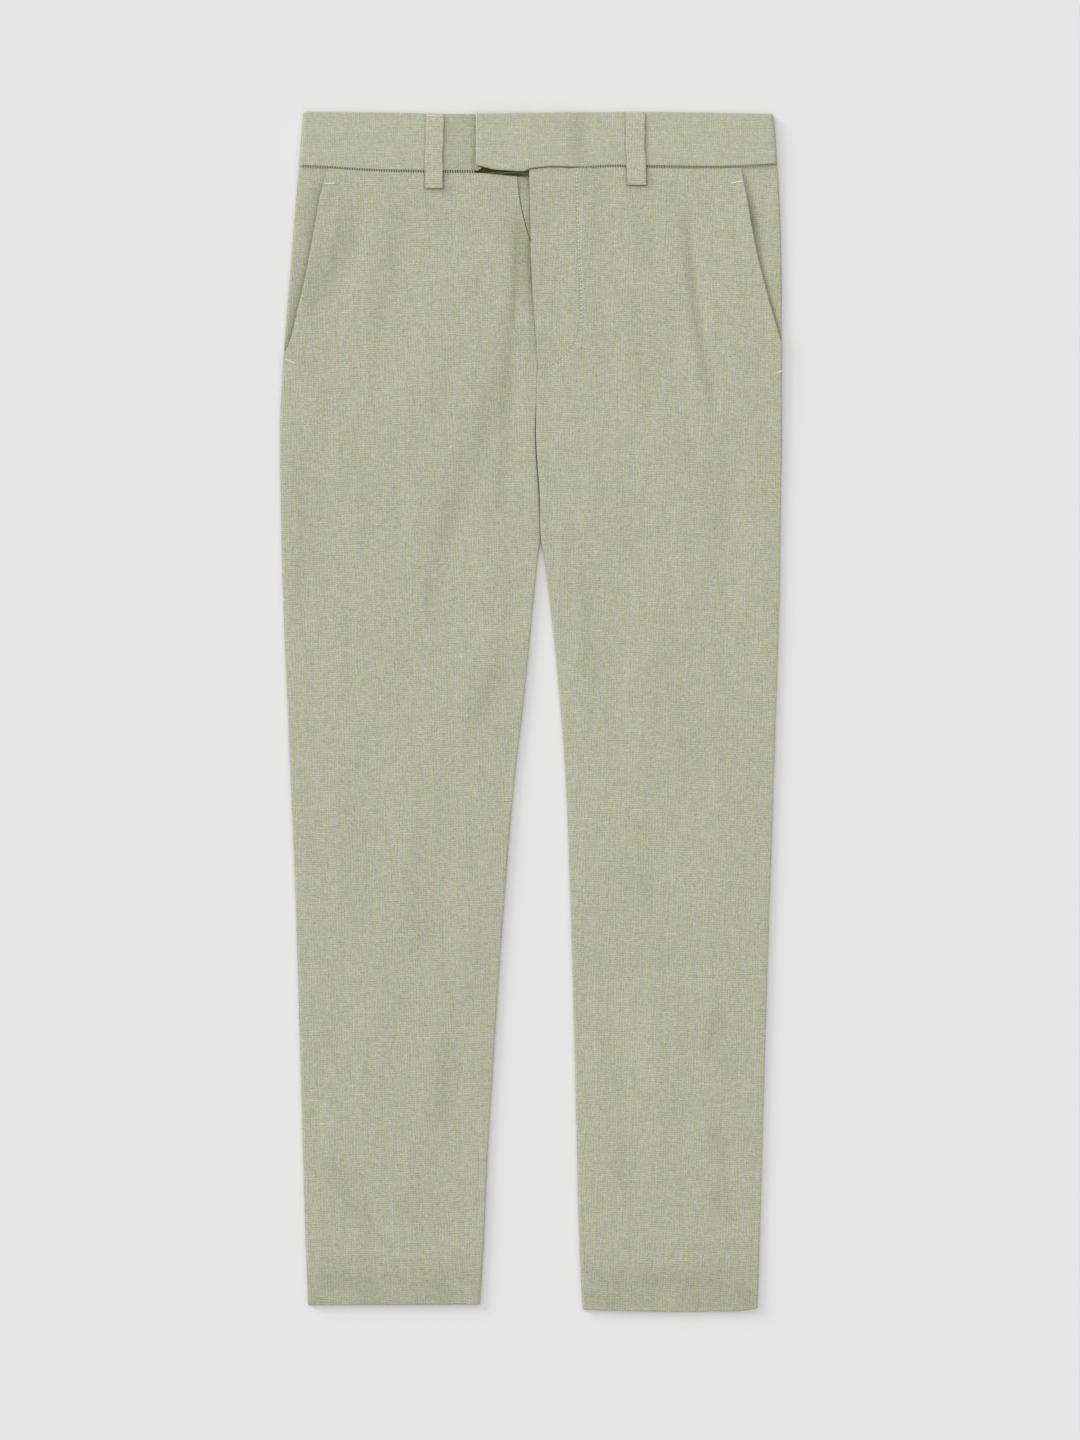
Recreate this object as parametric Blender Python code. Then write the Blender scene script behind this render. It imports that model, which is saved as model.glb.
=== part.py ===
"""Slim linen trousers laid flat on their back, one closed solid for each sewn piece.

The waist is toward +Y and the hems toward -Y. The wearer's right is at -X, so the left front,
at +X, laps over the right one. The underside lies on Z = 0. Lengths are in metres, and the
tables are in millimetres. "down" is the distance from the top of the waist toward the hems.
"""

import bmesh
import bpy
import numpy as np

MM = 0.001

# Driving sizes
LENGTH = 0.7684  # from the waist's top to the longer hem
WALL = 0.001  # one layer of cloth with its lie
BAND_WALL = 0.002  # the waistband is two layers
GAP = 0.0003  # between sewn pieces
RIGHT, LEFT = -1, 1

# Heights of the folded edges where front and back are sewn together
BACK_SEAM_Z = 0.0021
FRONT_SEAM_Z = BACK_SEAM_Z + GAP
EDGE_ROUND = 0.0024  # how far the edge's rounding reaches inward
ARC_STEPS = 3

# The upper face of the fronts
FRONT_EDGE_Z = 0.0043
HEM_EDGE_Z = 0.0045
CROWN = 0.0009
SEAM_DIP = 0.0003  # the waist seam draws the fronts down

# Hems, turned up inside
HEM_DEPTH = 0.039
HEM_TURN = 0.001

# Centre, crotch and fly
CENTRE_BACK_X = 0.004
CROTCH_X = 0.0059
CROTCH_DOWN = 0.2737
WAIST_SEAM_DOWN = 0.036
WAIST_FADE_DOWN = 0.110  # where the waist no longer draws the cloth
LEG_SPLIT_DOWN = (0.230, 0.290)  # where one crowned body becomes two crowned legs
CENTRE_SEAM_ROLL_DOWN = (0.175, 0.262)  # where the centre-front seam sinks toward the crotch
FLY_END_DOWN = 0.161
FLY_WIDTH = 0.031
FLY_RAISE = 0.0007
FLY_SIDE_DIP = 0.0006

# Waistband
BAND_GAP = 0.0006  # between its front and back runs
BAND_TOP_Z = 2 * BAND_WALL + BAND_GAP
TAB_TIP_X = -0.0353
UNDERLAP_END_X = 0.020
TAB_DESCENT = 0.016
TAB_CORNER = 0.0018
BAND_ROWS = (0.0, 0.02, 0.35, 0.65, 0.98, 1.0)  # shares of the band's height, from its seam

# Pocket side pieces, and the fronts' edges over them
FACING_TOP_Z = FRONT_SEAM_Z + WALL
FACING_ROUND = 0.0016
FACING_LAP = 0.009
FACING_TAIL = 0.010
FACING_INSET = 0.0016
FACING_TUCK = 0.004
POCKET_END_DOWN = {RIGHT: 0.156, LEFT: 0.150}
POCKET_MOUTH_LIFT = {RIGHT: 0.0002, LEFT: 0.0005}

# Fly shield and zip under the fly
SHIELD_Z = WALL + GAP
SHIELD_EDGES_X = (-0.016, 0.024)
SHIELD_END_DOWN = 0.158
ZIP_Z = SHIELD_Z + WALL + GAP
ZIP_INSET = 0.003
ZIP_WIDTH = 0.018
ZIP_END_DOWN = 0.150

# Belt loops
LOOP_WALL = 0.0012
LOOP_ARCH = 0.0012
LOOP_FOLD = 0.007

LINEN = (179, 182, 158)
LINEN_LOOP = (186, 186, 163)
LINEN_ROUGHNESS = 0.9
ZIP_COLOUR = (168, 171, 148)


def columns(names, *rows):
    """A short table: rows of millimetres become named columns of metres."""
    values = np.array(rows, dtype=float).T * MM
    return dict(zip(names.split(), values))


SIDE_SEAMS = columns(
    "down right left",
    (0, -145.8, 155.2),
    (18, -147.3, 156.8),
    (36, -148.6, 157.9),
    (65, -151.2, 159.5),
    (95, -153.5, 160.4),
    (146, -157.7, 160.7),
    (206, -160.8, 160.8),
    (243, -160.4, 160.3),
    (313, -158.7, 159.1),
    (398, -155.2, 156.5),
    (505, -150.8, 153.0),
    (601, -147.9, 149.9),
    (713, -144.7, 146.8),
    (768.4, -142.8, 145.1),
)
# The centre-front seam above the crotch, then the two inseams
INNER_EDGES = columns(
    "down right left",
    (161, 4.4, 4.4),
    (182, 3.5, 3.5),
    (206, 2.9, 2.9),
    (225, 3.8, 3.8),
    (243, 5.1, 5.1),
    (270, 5.9, 5.9),
    (274, 5.9, 6.2),
    (286, 4.6, 8.5),
    (308, 2.2, 11.2),
    (344, -1.2, 15.3),
    (377, -4.5, 18.4),
    (429, -10.5, 22.2),
    (505, -16.9, 25.1),
    (601, -23.5, 27.8),
    (660, -27.2, 29.2),
    (731, -30.3, 31.1),
    (768.4, -32.4, 32.9),
)
# The lapping edge of the fly, and how far the right front's edge stands off from it
FLY_EDGE = columns(
    "down x stand_off",
    (36, -1.4, 6.6),
    (52, -0.9, 6.5),
    (63, -0.6, 5.4),
    (93, -0.1, 3.0),
    (121, 1.3, 0.7),
    (134, 2.2, 0.3),
    (161, 4.4, 0.3),
)
SLANTS = columns(
    "down right left",
    (36, -129.9, 134.5),
    (58, -135.9, 139.0),
    (95, -142.4, 147.4),
    (126, -149.2, 155.0),
    (143, -153.0, 159.4),
    (150, -155.4, 160.8),
    (156, -158.2, 160.8),
)
WAIST_TOP = columns(
    "x down",
    (-146, 0.0),
    (-84, 0.8),
    (-35, 1.7),
    (0, 1.1),
    (58, 0.2),
    (108, 0.6),
    (155, 1.6),
)
WAIST_SEAM_RIGHT = columns(
    "x down",
    (-148, 35.8),
    (-130, 36.2),
    (-103, 37.6),
    (-56, 38.4),
    (20, 38.4),
)
WAIST_SEAM_LEFT = columns(
    "x down",
    (-34, 36.7),
    (-2, 38.8),
    (9, 36.8),
    (58, 35.4),
    (133, 35.7),
    (158, 34.6),
)
HEM_RIGHT = columns(
    "x down",
    (-143, 764.4),
    (-32, 764.0),
)
HEM_LEFT = columns(
    "x down",
    (33, 767.4),
    (76, 768.3),
    (117, 768.3),
    (136, 767.9),
    (145, 766.6),
)
# The largest folds: three places along each trough, how deep it is and how far it reaches
FOLDS = columns(
    "top_x top middle_x middle low_x low depth reach",
    (98.6, 58, 106.3, 127, 119, 196, 0.9, 6.5),
    (63.0, 112, 68.0, 150, 73.5, 186, 0.4, 7.0),
    (-10.5, 118, -23.0, 181, -50.0, 246, 0.8, 8.0),
    (-48.0, 240, -59.0, 284, -67.0, 330, 0.4, 9.0),
    (-112.0, 62, -124.0, 102, -138.0, 134, 0.5, 9.0),
    (-84.4, 46, -88.9, 106, -98.0, 154, 0.5, 8.0),
    (-10.0, 348, -24.0, 376, -41.0, 404, 0.5, 11.0),
    (50.6, 594, 54.6, 650, 62.0, 704, 0.5, 7.0),
    (125.0, 572, 117.0, 592, 106.0, 612, 0.4, 9.0),
    (-131.0, 668, -117.0, 696, -98.0, 726, 0.5, 12.0),
)
# The ridge beside each trough, toward +X or -X, as a share of the trough's depth
FOLD_RIDGES = (-0.5, -0.3, 0.3, 0.2, -0.3, -0.3, 0.2, -0.3, 0.2, 0.2)
# Where the grid rows of a leg panel lie: from, to, and how many steps between
FRONT_ROWS = (
    (WAIST_SEAM_DOWN + GAP, 0.141, 8),
    (0.141, 0.166, 4),
    (0.166, 0.250, 6),
    (0.250, 0.286, 5),
    (0.286, 0.728, 19),
)
BACK_ROWS = (
    (WAIST_SEAM_DOWN + GAP, 0.250, 8),
    (0.250, 0.286, 4),
    (0.286, 0.728, 12),
)
HEM_ROWS = 2
HEM_LIP = 0.0006
LIP_TAPER = 0.25
FRONT_MIDDLE_STEPS = 15
BACK_MIDDLE_STEPS = 5
# Belt loops: where the middle of each lies at its top and lower end, and its width
LOOPS = columns(
    "x_top x_low width top low",
    (-61.5, -62.1, 11.3, 2.0, 49.4),
    (66.6, 67.6, 12.2, 0.6, 47.4),
)


def clear_scene():
    for thing in list(bpy.data.objects):
        bpy.data.objects.remove(thing, do_unlink=True)


def smooth(at, stations, values):
    """A smooth curve through the stations, held level beyond both ends."""
    at = np.asarray(at, dtype=float)
    if len(stations) < 3:
        return np.interp(at, stations, values)
    slopes = np.gradient(values, stations)
    low = np.clip(np.searchsorted(stations, at) - 1, 0, len(stations) - 2)
    span = stations[low + 1] - stations[low]
    t = np.clip((at - stations[low]) / span, 0.0, 1.0)
    rise = values[low + 1] - values[low]
    bend_in = slopes[low] * span - rise
    bend_out = -slopes[low + 1] * span + rise
    return values[low] + t * rise + t * (1 - t) * ((1 - t) * bend_in + t * bend_out)


def ease(at, start, end):
    """0 before start, 1 after end, and a soft step between."""
    t = np.clip((np.asarray(at, dtype=float) - start) / (end - start), 0.0, 1.0)
    return t * t * (3 - 2 * t)


def side_name(side):
    return "right" if side == RIGHT else "left"


def side_seam(side, down):
    return smooth(down, SIDE_SEAMS["down"], SIDE_SEAMS[side_name(side)])


def slant(side, down):
    return smooth(down, SLANTS["down"], SLANTS[side_name(side)])


def fly_edge(down):
    return smooth(down, FLY_EDGE["down"], FLY_EDGE["x"])


def inner_seam(side, down):
    """The centre-front seam or the inseam, half a gap in from where the panels meet."""
    centre = smooth(down, INNER_EDGES["down"], INNER_EDGES[side_name(side)])
    return centre + side * GAP / 2


def front_outer(side, down):
    """The front's outer edge is the pocket slant, then the side seam."""
    seam = side_seam(side, down)
    pocket = slant(side, down)
    inside = np.where(side * pocket < side * seam, pocket, seam)
    return np.where(down < POCKET_END_DOWN[side], inside, seam)


def front_inner(side, down):
    """The front's inner edge is the fly's, then the centre-front seam and the inseam."""
    fly = fly_edge(down) + side * GAP / 2
    if side == RIGHT:
        fly = fly - smooth(down, FLY_EDGE["down"], FLY_EDGE["stand_off"]) + GAP
    return np.where(down < FLY_END_DOWN, fly, inner_seam(side, down))


def back_inner(side, down):
    """The back's inner edge is the centre-back seam, then the inseam."""
    centre = np.interp(down, (0, CROTCH_DOWN), (CENTRE_BACK_X, CROTCH_X))
    return np.where(down < CROTCH_DOWN, centre + side * GAP / 2, inner_seam(side, down))


def waist_seam(side, x):
    table = WAIST_SEAM_RIGHT if side == RIGHT else WAIST_SEAM_LEFT
    return smooth(x, table["x"], table["down"])


def hem_line(side, x):
    table = HEM_RIGHT if side == RIGHT else HEM_LEFT
    return smooth(x, table["x"], table["down"])


def waist_top(x):
    return smooth(x, WAIST_TOP["x"], WAIST_TOP["down"])


def fold_depths(x, down):
    """The heights that the folds take from the cloth's upper face."""
    total = np.zeros_like(x)
    f = FOLDS
    for i, ridge in enumerate(FOLD_RIDGES):
        stations = np.array([f["top"][i], f["middle"][i], f["low"][i]])
        path = np.array([f["top_x"][i], f["middle_x"][i], f["low_x"][i]])
        slope = (path[2] - path[0]) / (stations[2] - stations[0])
        line = smooth(down, stations, path)
        away = (x - line) / np.hypot(1, slope) / f["reach"][i]
        run = (stations[2] - stations[0]) / 3
        along = ease(down, stations[0], stations[0] + run)
        along = along * (1 - ease(down, stations[2] - run, stations[2]))
        beside = away - 1.7 * np.sign(ridge)
        shape = np.exp(-away**2) - abs(ridge) * np.exp(-beside**2)
        total = total + f["depth"][i] * along * shape
    return total


def front_height(side, x, down):
    """The height of a front's upper face before its edges round down."""
    outer = front_outer(side, down)
    inner = front_inner(side, down)
    across = np.clip((x - outer) / (inner - outer), 0.0, 1.0)
    leg = ease(down, *LEG_SPLIT_DOWN)
    hem = ease(down, LENGTH - 2 * HEM_DEPTH, LENGTH - HEM_DEPTH)
    waist = 1 - ease(down, WAIST_SEAM_DOWN, WAIST_FADE_DOWN)
    crown = CROWN * (1 - 0.65 * waist) * (1 - 0.75 * hem)
    shape = 1 - (1 - across) ** 4 - leg * across**4
    height = FRONT_EDGE_Z + (HEM_EDGE_Z - FRONT_EDGE_Z) * hem + crown * shape
    height = height - fold_depths(x, down) * (1 - hem)
    height = height - SEAM_DIP * (1 - ease(down, WAIST_SEAM_DOWN, WAIST_SEAM_DOWN + 0.008))
    return height + pocket_lift(side, x, down, outer) + fly_lift(side, x, down, inner)


def pocket_lift(side, x, down, outer):
    """The front lies on the pocket's side piece, and its free edge stands open a little."""
    end = POCKET_END_DOWN[side]
    from_edge = np.abs(x - outer)
    over = np.exp(-((from_edge / 0.020) ** 2)) * (1 - ease(down, end + 0.015, end + 0.050))
    along = np.clip((down - WAIST_SEAM_DOWN) / (end - WAIST_SEAM_DOWN), 0.0, 1.0)
    mouth = POCKET_MOUTH_LIFT[side] * np.sin(np.pi * along) * np.exp(-((from_edge / 0.010) ** 2))
    return (FACING_TOP_Z + GAP + WALL - FRONT_EDGE_Z) * over + mouth


def fly_lift(side, x, down, inner):
    """The left front lies on the shield and zip, and the right one dips toward the shield."""
    from_edge = np.abs(x - inner)
    above = 1 - ease(down, FLY_END_DOWN - 0.020, FLY_END_DOWN + 0.020)
    if side == RIGHT:
        return -FLY_SIDE_DIP * above * np.exp(-((from_edge / 0.009) ** 2))
    raised = FLY_RAISE * above + FLY_RAISE * (1 - ease(down, WAIST_SEAM_DOWN, 0.075))
    return raised * (1 - ease(from_edge, FLY_WIDTH, FLY_WIDTH + 0.018))


def seated_height(side, x, down):
    """front_height, kept clear of the pocket's side piece where it lies on it."""
    height = front_height(side, x, down)
    near = np.abs(x - front_outer(side, down)) < FACING_LAP + 0.004
    near = near & (down < POCKET_END_DOWN[side] + FACING_TAIL + 0.006)
    seat = FACING_TOP_Z + GAP + WALL
    return np.where(near, np.maximum(height, seat), height)


def row_stations(spans):
    """Rows from the waist seam to the hem, closer where the shape changes."""
    rows = [spans[0][0]]
    for start, end, steps in spans:
        rows.extend(np.linspace(start, end, steps + 1)[1:])
    turn = LENGTH - HEM_DEPTH
    rows.extend(np.linspace(turn, LENGTH - HEM_LIP, HEM_ROWS + 1))
    rows.append(LENGTH)
    return np.array(rows)


def across_row(outer, inner, middle_steps):
    """Places from the outer to the inner edge, and how steep the rounded edge is at each."""
    angles = np.linspace(0, np.pi / 2, ARC_STEPS + 1)
    inward = np.sign(inner - outer)
    start = outer + inward * EDGE_ROUND * (1 - np.cos(angles))
    end = inner - inward * EDGE_ROUND * (1 - np.cos(angles))
    middle = np.linspace(start[-1], end[-1], middle_steps + 1)[1:-1]
    x = np.concatenate([start, middle, end[::-1]])
    level = np.full(len(middle), np.pi / 2)
    return x, np.concatenate([angles, level, angles[::-1]]), inward


def edge_rolls(count, outer_roll, inner_roll):
    """How far each column's edge is rolled to the seam: 0 is flat and 1 is a folded edge."""
    rolls = np.full(count, outer_roll)
    rolls[count // 2 :] = inner_roll
    return rolls


def panel_rows(side, stations, outer_edge, inner_edge, middle_steps, rolls_at):
    """Yields x, down, edge angle, roll and inward direction along each row of a leg panel."""
    for station in stations:
        outer = float(outer_edge(side, station))
        inner = float(inner_edge(side, station))
        x, angles, inward = across_row(outer, inner, middle_steps)
        rolls = edge_rolls(len(x), *rolls_at(station))
        from_waist = 1 - ease(station, WAIST_SEAM_DOWN, WAIST_FADE_DOWN)
        from_hem = ease(station, LENGTH - 2 * HEM_DEPTH, LENGTH)
        down = station + from_waist * (waist_seam(side, x) - WAIST_SEAM_DOWN)
        down = down + from_hem * (hem_line(side, x) - LENGTH)
        turned = np.where(np.arange(len(x)) < len(x) // 2, inward, -inward)
        yield x, down, angles, rolls, turned


def wall_at(station):
    doubled = station >= LENGTH - HEM_DEPTH - 1e-6
    return WALL + (HEM_TURN if doubled else 0.0)


def to_points(x, down, z):
    return np.stack([x, LENGTH / 2 - down, z], axis=-1)


def soften_end(face, other, row):
    """Thins the wall at one end row, so that its edge is eased and not square."""
    a, b = face[row].copy(), other[row].copy()
    face[row] = a + (b - a) * LIP_TAPER
    other[row] = b + (a - b) * LIP_TAPER


def solid(name, face, other, colour):
    """One closed piece between two grids of points, rows by columns, that face each other."""
    rows, count = face.shape[:2]
    bm = bmesh.new()
    near = [[bm.verts.new(p) for p in line] for line in face]
    far = [[bm.verts.new(p) for p in line] for line in other]
    for r in range(rows - 1):
        for c in range(count - 1):
            for grid in (near, far):
                bm.faces.new((grid[r][c], grid[r][c + 1], grid[r + 1][c + 1], grid[r + 1][c]))
    rim = [(0, c) for c in range(count)]
    rim += [(r, count - 1) for r in range(1, rows)]
    rim += [(rows - 1, c) for c in range(count - 2, -1, -1)]
    rim += [(r, 0) for r in range(rows - 2, 0, -1)]
    for (r, c), (r2, c2) in zip(rim, rim[1:] + rim[:1]):
        bm.faces.new((near[r][c], near[r2][c2], far[r2][c2], far[r][c]))
    bmesh.ops.recalc_face_normals(bm, faces=bm.faces)
    mesh = bpy.data.meshes.new(name)
    bm.to_mesh(mesh)
    bm.free()
    mesh.shade_smooth()
    mesh.set_sharp_from_angle(angle=np.radians(40))
    mesh.materials.append(cloth_material(name, colour))
    piece = bpy.data.objects.new(name, mesh)
    bpy.context.collection.objects.link(piece)
    return piece


def linear(channel):
    value = channel / 255
    return value / 12.92 if value <= 0.04045 else ((value + 0.055) / 1.055) ** 2.4


def cloth_material(name, colour):
    material = bpy.data.materials.new(name + "_cloth")
    material.use_nodes = True
    shader = material.node_tree.nodes["Principled BSDF"]
    shader.inputs["Base Color"].default_value = (*(linear(c) for c in colour), 1.0)
    shader.inputs["Roughness"].default_value = LINEN_ROUGHNESS
    shader.inputs["Metallic"].default_value = 0.0
    return material


def front_panel(side):
    """A front from the waist seam to the hem, its wall doubled at the turned-up hem."""
    end = POCKET_END_DOWN[side]

    def rolls_at(station):
        outer_roll = float(ease(station, end, end + 0.012))
        inner_roll = float(ease(station, *CENTRE_SEAM_ROLL_DOWN))
        return outer_roll, inner_roll

    stations = row_stations(FRONT_ROWS)
    rows = panel_rows(side, stations, front_outer, front_inner, FRONT_MIDDLE_STEPS, rolls_at)
    face, other = [], []
    for station, (x, down, angles, rolls, inward) in zip(stations, rows):
        top = seated_height(side, x, np.full_like(x, station))
        z = FRONT_SEAM_Z + (top - FRONT_SEAM_Z) * (1 - rolls * (1 - np.sin(angles)))
        lean_x = rolls * np.cos(angles) * inward
        lean_z = -(1 - rolls + rolls * np.sin(angles))
        size = np.hypot(lean_x, lean_z)
        wall = wall_at(station)
        face.append(to_points(x, down, z))
        other.append(to_points(x + wall * lean_x / size, down, z + wall * lean_z / size))
    face, other = np.array(face), np.array(other)
    soften_end(face, other, -1)
    return solid("front_panel_" + side_name(side), face, other, LINEN)


def back_panel(side):
    """A back that lies flat, its side seam and inseam edges rounded up to the front's."""

    def rolls_at(station):
        return 1.0, float(ease(station, CROTCH_DOWN - 0.018, CROTCH_DOWN))

    stations = row_stations(BACK_ROWS)
    rows = panel_rows(side, stations, side_seam, back_inner, BACK_MIDDLE_STEPS, rolls_at)
    face, other = [], []
    for station, (x, down, angles, rolls, inward) in zip(stations, rows):
        z = BACK_SEAM_Z * rolls * (1 - np.sin(angles))
        lean_x = rolls * np.cos(angles) * inward
        lean_z = 1 - rolls + rolls * np.sin(angles)
        size = np.hypot(lean_x, lean_z)
        wall = wall_at(station)
        face.append(to_points(x, down, z))
        other.append(to_points(x + wall * lean_x / size, down, z + wall * lean_z / size))
    face, other = np.array(face), np.array(other)
    soften_end(face, other, -1)
    return solid("back_panel_" + side_name(side), face, other, LINEN)


def pocket_facing(side):
    """The side piece under the slant: it rounds over at the side seam and tucks in below."""
    end = POCKET_END_DOWN[side]
    stations = np.linspace(WAIST_SEAM_DOWN + GAP, end - FACING_TUCK, 9)
    stations = np.append(stations, [end, end + FACING_TAIL])
    angles = np.linspace(0, np.pi / 2, ARC_STEPS + 1)
    face, other = [], []
    for station in stations:
        inset = FACING_INSET * float(ease(station, end - FACING_TUCK, end))
        outer = float(side_seam(side, station)) - side * inset
        rounded = outer - side * FACING_ROUND * (1 - np.cos(angles))
        inner = float(front_outer(side, station)) - side * FACING_LAP
        x = np.concatenate([rounded, np.linspace(rounded[-1], inner, 3)[1:]])
        level = np.concatenate([angles, [np.pi / 2, np.pi / 2]])
        from_waist = 1 - float(ease(station, WAIST_SEAM_DOWN, WAIST_FADE_DOWN))
        down = station + from_waist * (waist_seam(side, x) - WAIST_SEAM_DOWN)
        z = FRONT_SEAM_Z + WALL * np.sin(level)
        face.append(to_points(x, down, z))
        other.append(to_points(x - side * WALL * np.cos(level), down, z - WALL * np.sin(level)))
    return solid("pocket_facing_" + side_name(side), np.array(face), np.array(other), LINEN)


def band_section(side, down):
    """Outer and inner points round one half of the waistband, from its front end to the back."""
    fold_x = float(side_seam(side, down)) - side * BAND_TOP_Z / 2
    if side == RIGHT:
        run_x = np.linspace(UNDERLAP_END_X, fold_x, 11)
        run_z = np.full(len(run_x), BAND_TOP_Z)
    else:
        corner = TAB_CORNER * float(ease(down, WAIST_SEAM_DOWN - TAB_CORNER, WAIST_SEAM_DOWN))
        lap = np.linspace(TAB_TIP_X + corner, UNDERLAP_END_X + 0.002, 5)
        slope = np.linspace(UNDERLAP_END_X + 0.002, UNDERLAP_END_X + 0.002 + TAB_DESCENT, 5)
        flat = np.linspace(slope[-1], fold_x, 7)
        run_x = np.concatenate([lap[:-1], slope[:-1], flat])
        lifted = 1 - ease(run_x, slope[0], slope[-1])
        run_z = BAND_TOP_Z + (BAND_WALL + GAP) * lifted
    turn = np.linspace(0, np.pi, 7)[1:-1]
    mid_z = BAND_TOP_Z / 2
    hole = BAND_GAP / 2
    back_x = np.linspace(fold_x, CENTRE_BACK_X + side * GAP / 2, 6)
    outer_x = np.concatenate([run_x, fold_x + side * mid_z * np.sin(turn), back_x])
    outer_z = np.concatenate([run_z, mid_z + mid_z * np.cos(turn), np.zeros(6)])
    inner_x = np.concatenate([run_x, fold_x + side * hole * np.sin(turn), back_x])
    inner_z = np.concatenate([run_z - BAND_WALL, mid_z + hole * np.cos(turn), np.full(6, BAND_WALL)])
    return outer_x, outer_z, inner_x, inner_z


def waistband(side):
    """One half of the waistband: its front run, the fold at the side and its back run."""
    face, other = [], []
    for share in BAND_ROWS:
        nominal = WAIST_SEAM_DOWN * (1 - share)
        outer_x, outer_z, inner_x, inner_z = band_section(side, nominal)
        low = waist_seam(side, outer_x) - GAP
        down = low + (waist_top(outer_x) - low) * share
        face.append(to_points(outer_x, down, outer_z))
        other.append(to_points(inner_x, down, inner_z))
    face, other = np.array(face), np.array(other)
    soften_end(face, other, 0)
    soften_end(face, other, -1)
    return solid("waistband_" + side_name(side), face, other, LINEN)


def strip(name, left_edge, right_edge, start, end, low_z, thickness, steps, colour):
    """A flat strip that runs down the garment between two edges."""
    face, other = [], []
    for down in np.linspace(start, end, steps + 1):
        x = np.linspace(float(left_edge(down)), float(right_edge(down)), 4)
        face.append(to_points(x, np.full(4, down), np.full(4, low_z + thickness)))
        other.append(to_points(x, np.full(4, down), np.full(4, low_z)))
    return solid(name, np.array(face), np.array(other), colour)


def fly_shield():
    start = float(waist_seam(RIGHT, 0.0)) + GAP
    left_x, right_x = SHIELD_EDGES_X
    return strip(
        "fly_shield",
        lambda down: left_x,
        lambda down: right_x,
        start,
        SHIELD_END_DOWN,
        SHIELD_Z,
        WALL,
        6,
        LINEN,
    )


def fly_zip():
    start = float(waist_seam(RIGHT, 0.0)) + GAP
    return strip(
        "fly_zip",
        lambda down: fly_edge(down) + ZIP_INSET,
        lambda down: fly_edge(down) + ZIP_INSET + ZIP_WIDTH,
        start,
        ZIP_END_DOWN,
        ZIP_Z,
        WALL,
        6,
        ZIP_COLOUR,
    )


def belt_loop(side):
    """A loop over the waistband, arched for the belt, its lower end folded under itself."""
    i = 0 if side == RIGHT else 1
    top, low = LOOPS["top"][i], LOOPS["low"][i]
    half = LOOPS["width"][i] / 2
    fold = low - LOOP_FOLD
    stations = np.array([top, top + 0.001, top + 0.008, top + 0.018, top + 0.028])
    stations = np.append(stations, [fold - 0.004, fold - 0.0005, fold, low - 0.001, low])
    across = np.array([-1.0, -0.8, 0.8, 1.0])
    x_low = np.linspace(LOOPS["x_low"][i] - half, LOOPS["x_low"][i] + half, 5)
    seat = float(np.max(front_height(side, x_low, np.full(5, low)))) + GAP
    face, other = [], []
    for down in stations:
        share = (down - top) / (low - top)
        x = LOOPS["x_top"][i] + (LOOPS["x_low"][i] - LOOPS["x_top"][i]) * share + half * across
        arch = LOOP_ARCH * float(ease(down, top, top + 0.020))
        under = BAND_TOP_Z + GAP + arch
        over = under + LOOP_WALL
        if down >= fold:
            under = seat
            over = max(over, seat + 2 * LOOP_WALL)
        edge = np.array([0.25, 0.0, 0.0, 0.25]) * LOOP_WALL
        end = 0.3 * LOOP_WALL if down in (stations[0], stations[-1]) else 0.0
        face.append(to_points(x, np.full(4, down), over - edge - end))
        other.append(to_points(x, np.full(4, down), under + edge * 0.5 + end * 0.5))
    return solid("belt_loop_" + side_name(side), np.array(face), np.array(other), LINEN_LOOP)


def main():
    clear_scene()
    for side in (RIGHT, LEFT):
        back_panel(side)
        front_panel(side)
        pocket_facing(side)
        waistband(side)
        belt_loop(side)
    fly_shield()
    fly_zip()


main()
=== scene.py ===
"""The looks of the slim linen trousers laid flat: fine cloth shells, sewing, linen with painted shade, and
light.

The shells follow the solids' own outlines, heights and folds on a closer grid, with rounded edges
and finer creases. Lengths are in metres, the tables are in millimetres, and "down" is the distance
from the top of the waist toward the hems. The wearer's right is at -X.
"""

from collections import namedtuple

import bpy
import numpy as np
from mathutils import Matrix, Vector, noise


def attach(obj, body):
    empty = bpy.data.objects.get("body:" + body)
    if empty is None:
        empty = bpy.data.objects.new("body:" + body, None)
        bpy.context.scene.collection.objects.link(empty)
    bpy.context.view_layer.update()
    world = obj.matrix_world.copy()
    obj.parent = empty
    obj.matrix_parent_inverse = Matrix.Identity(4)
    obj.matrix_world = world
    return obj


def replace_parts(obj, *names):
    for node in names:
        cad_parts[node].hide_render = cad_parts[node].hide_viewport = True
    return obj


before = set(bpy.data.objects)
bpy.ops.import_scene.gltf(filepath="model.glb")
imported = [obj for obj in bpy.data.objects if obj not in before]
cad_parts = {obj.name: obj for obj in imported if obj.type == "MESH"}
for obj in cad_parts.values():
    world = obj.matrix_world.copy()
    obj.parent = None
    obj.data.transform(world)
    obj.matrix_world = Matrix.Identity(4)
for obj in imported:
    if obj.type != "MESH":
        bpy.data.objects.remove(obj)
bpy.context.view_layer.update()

MM = 0.001
RIGHT, LEFT = -1, 1
NAME = {RIGHT: "right", LEFT: "left"}

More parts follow.
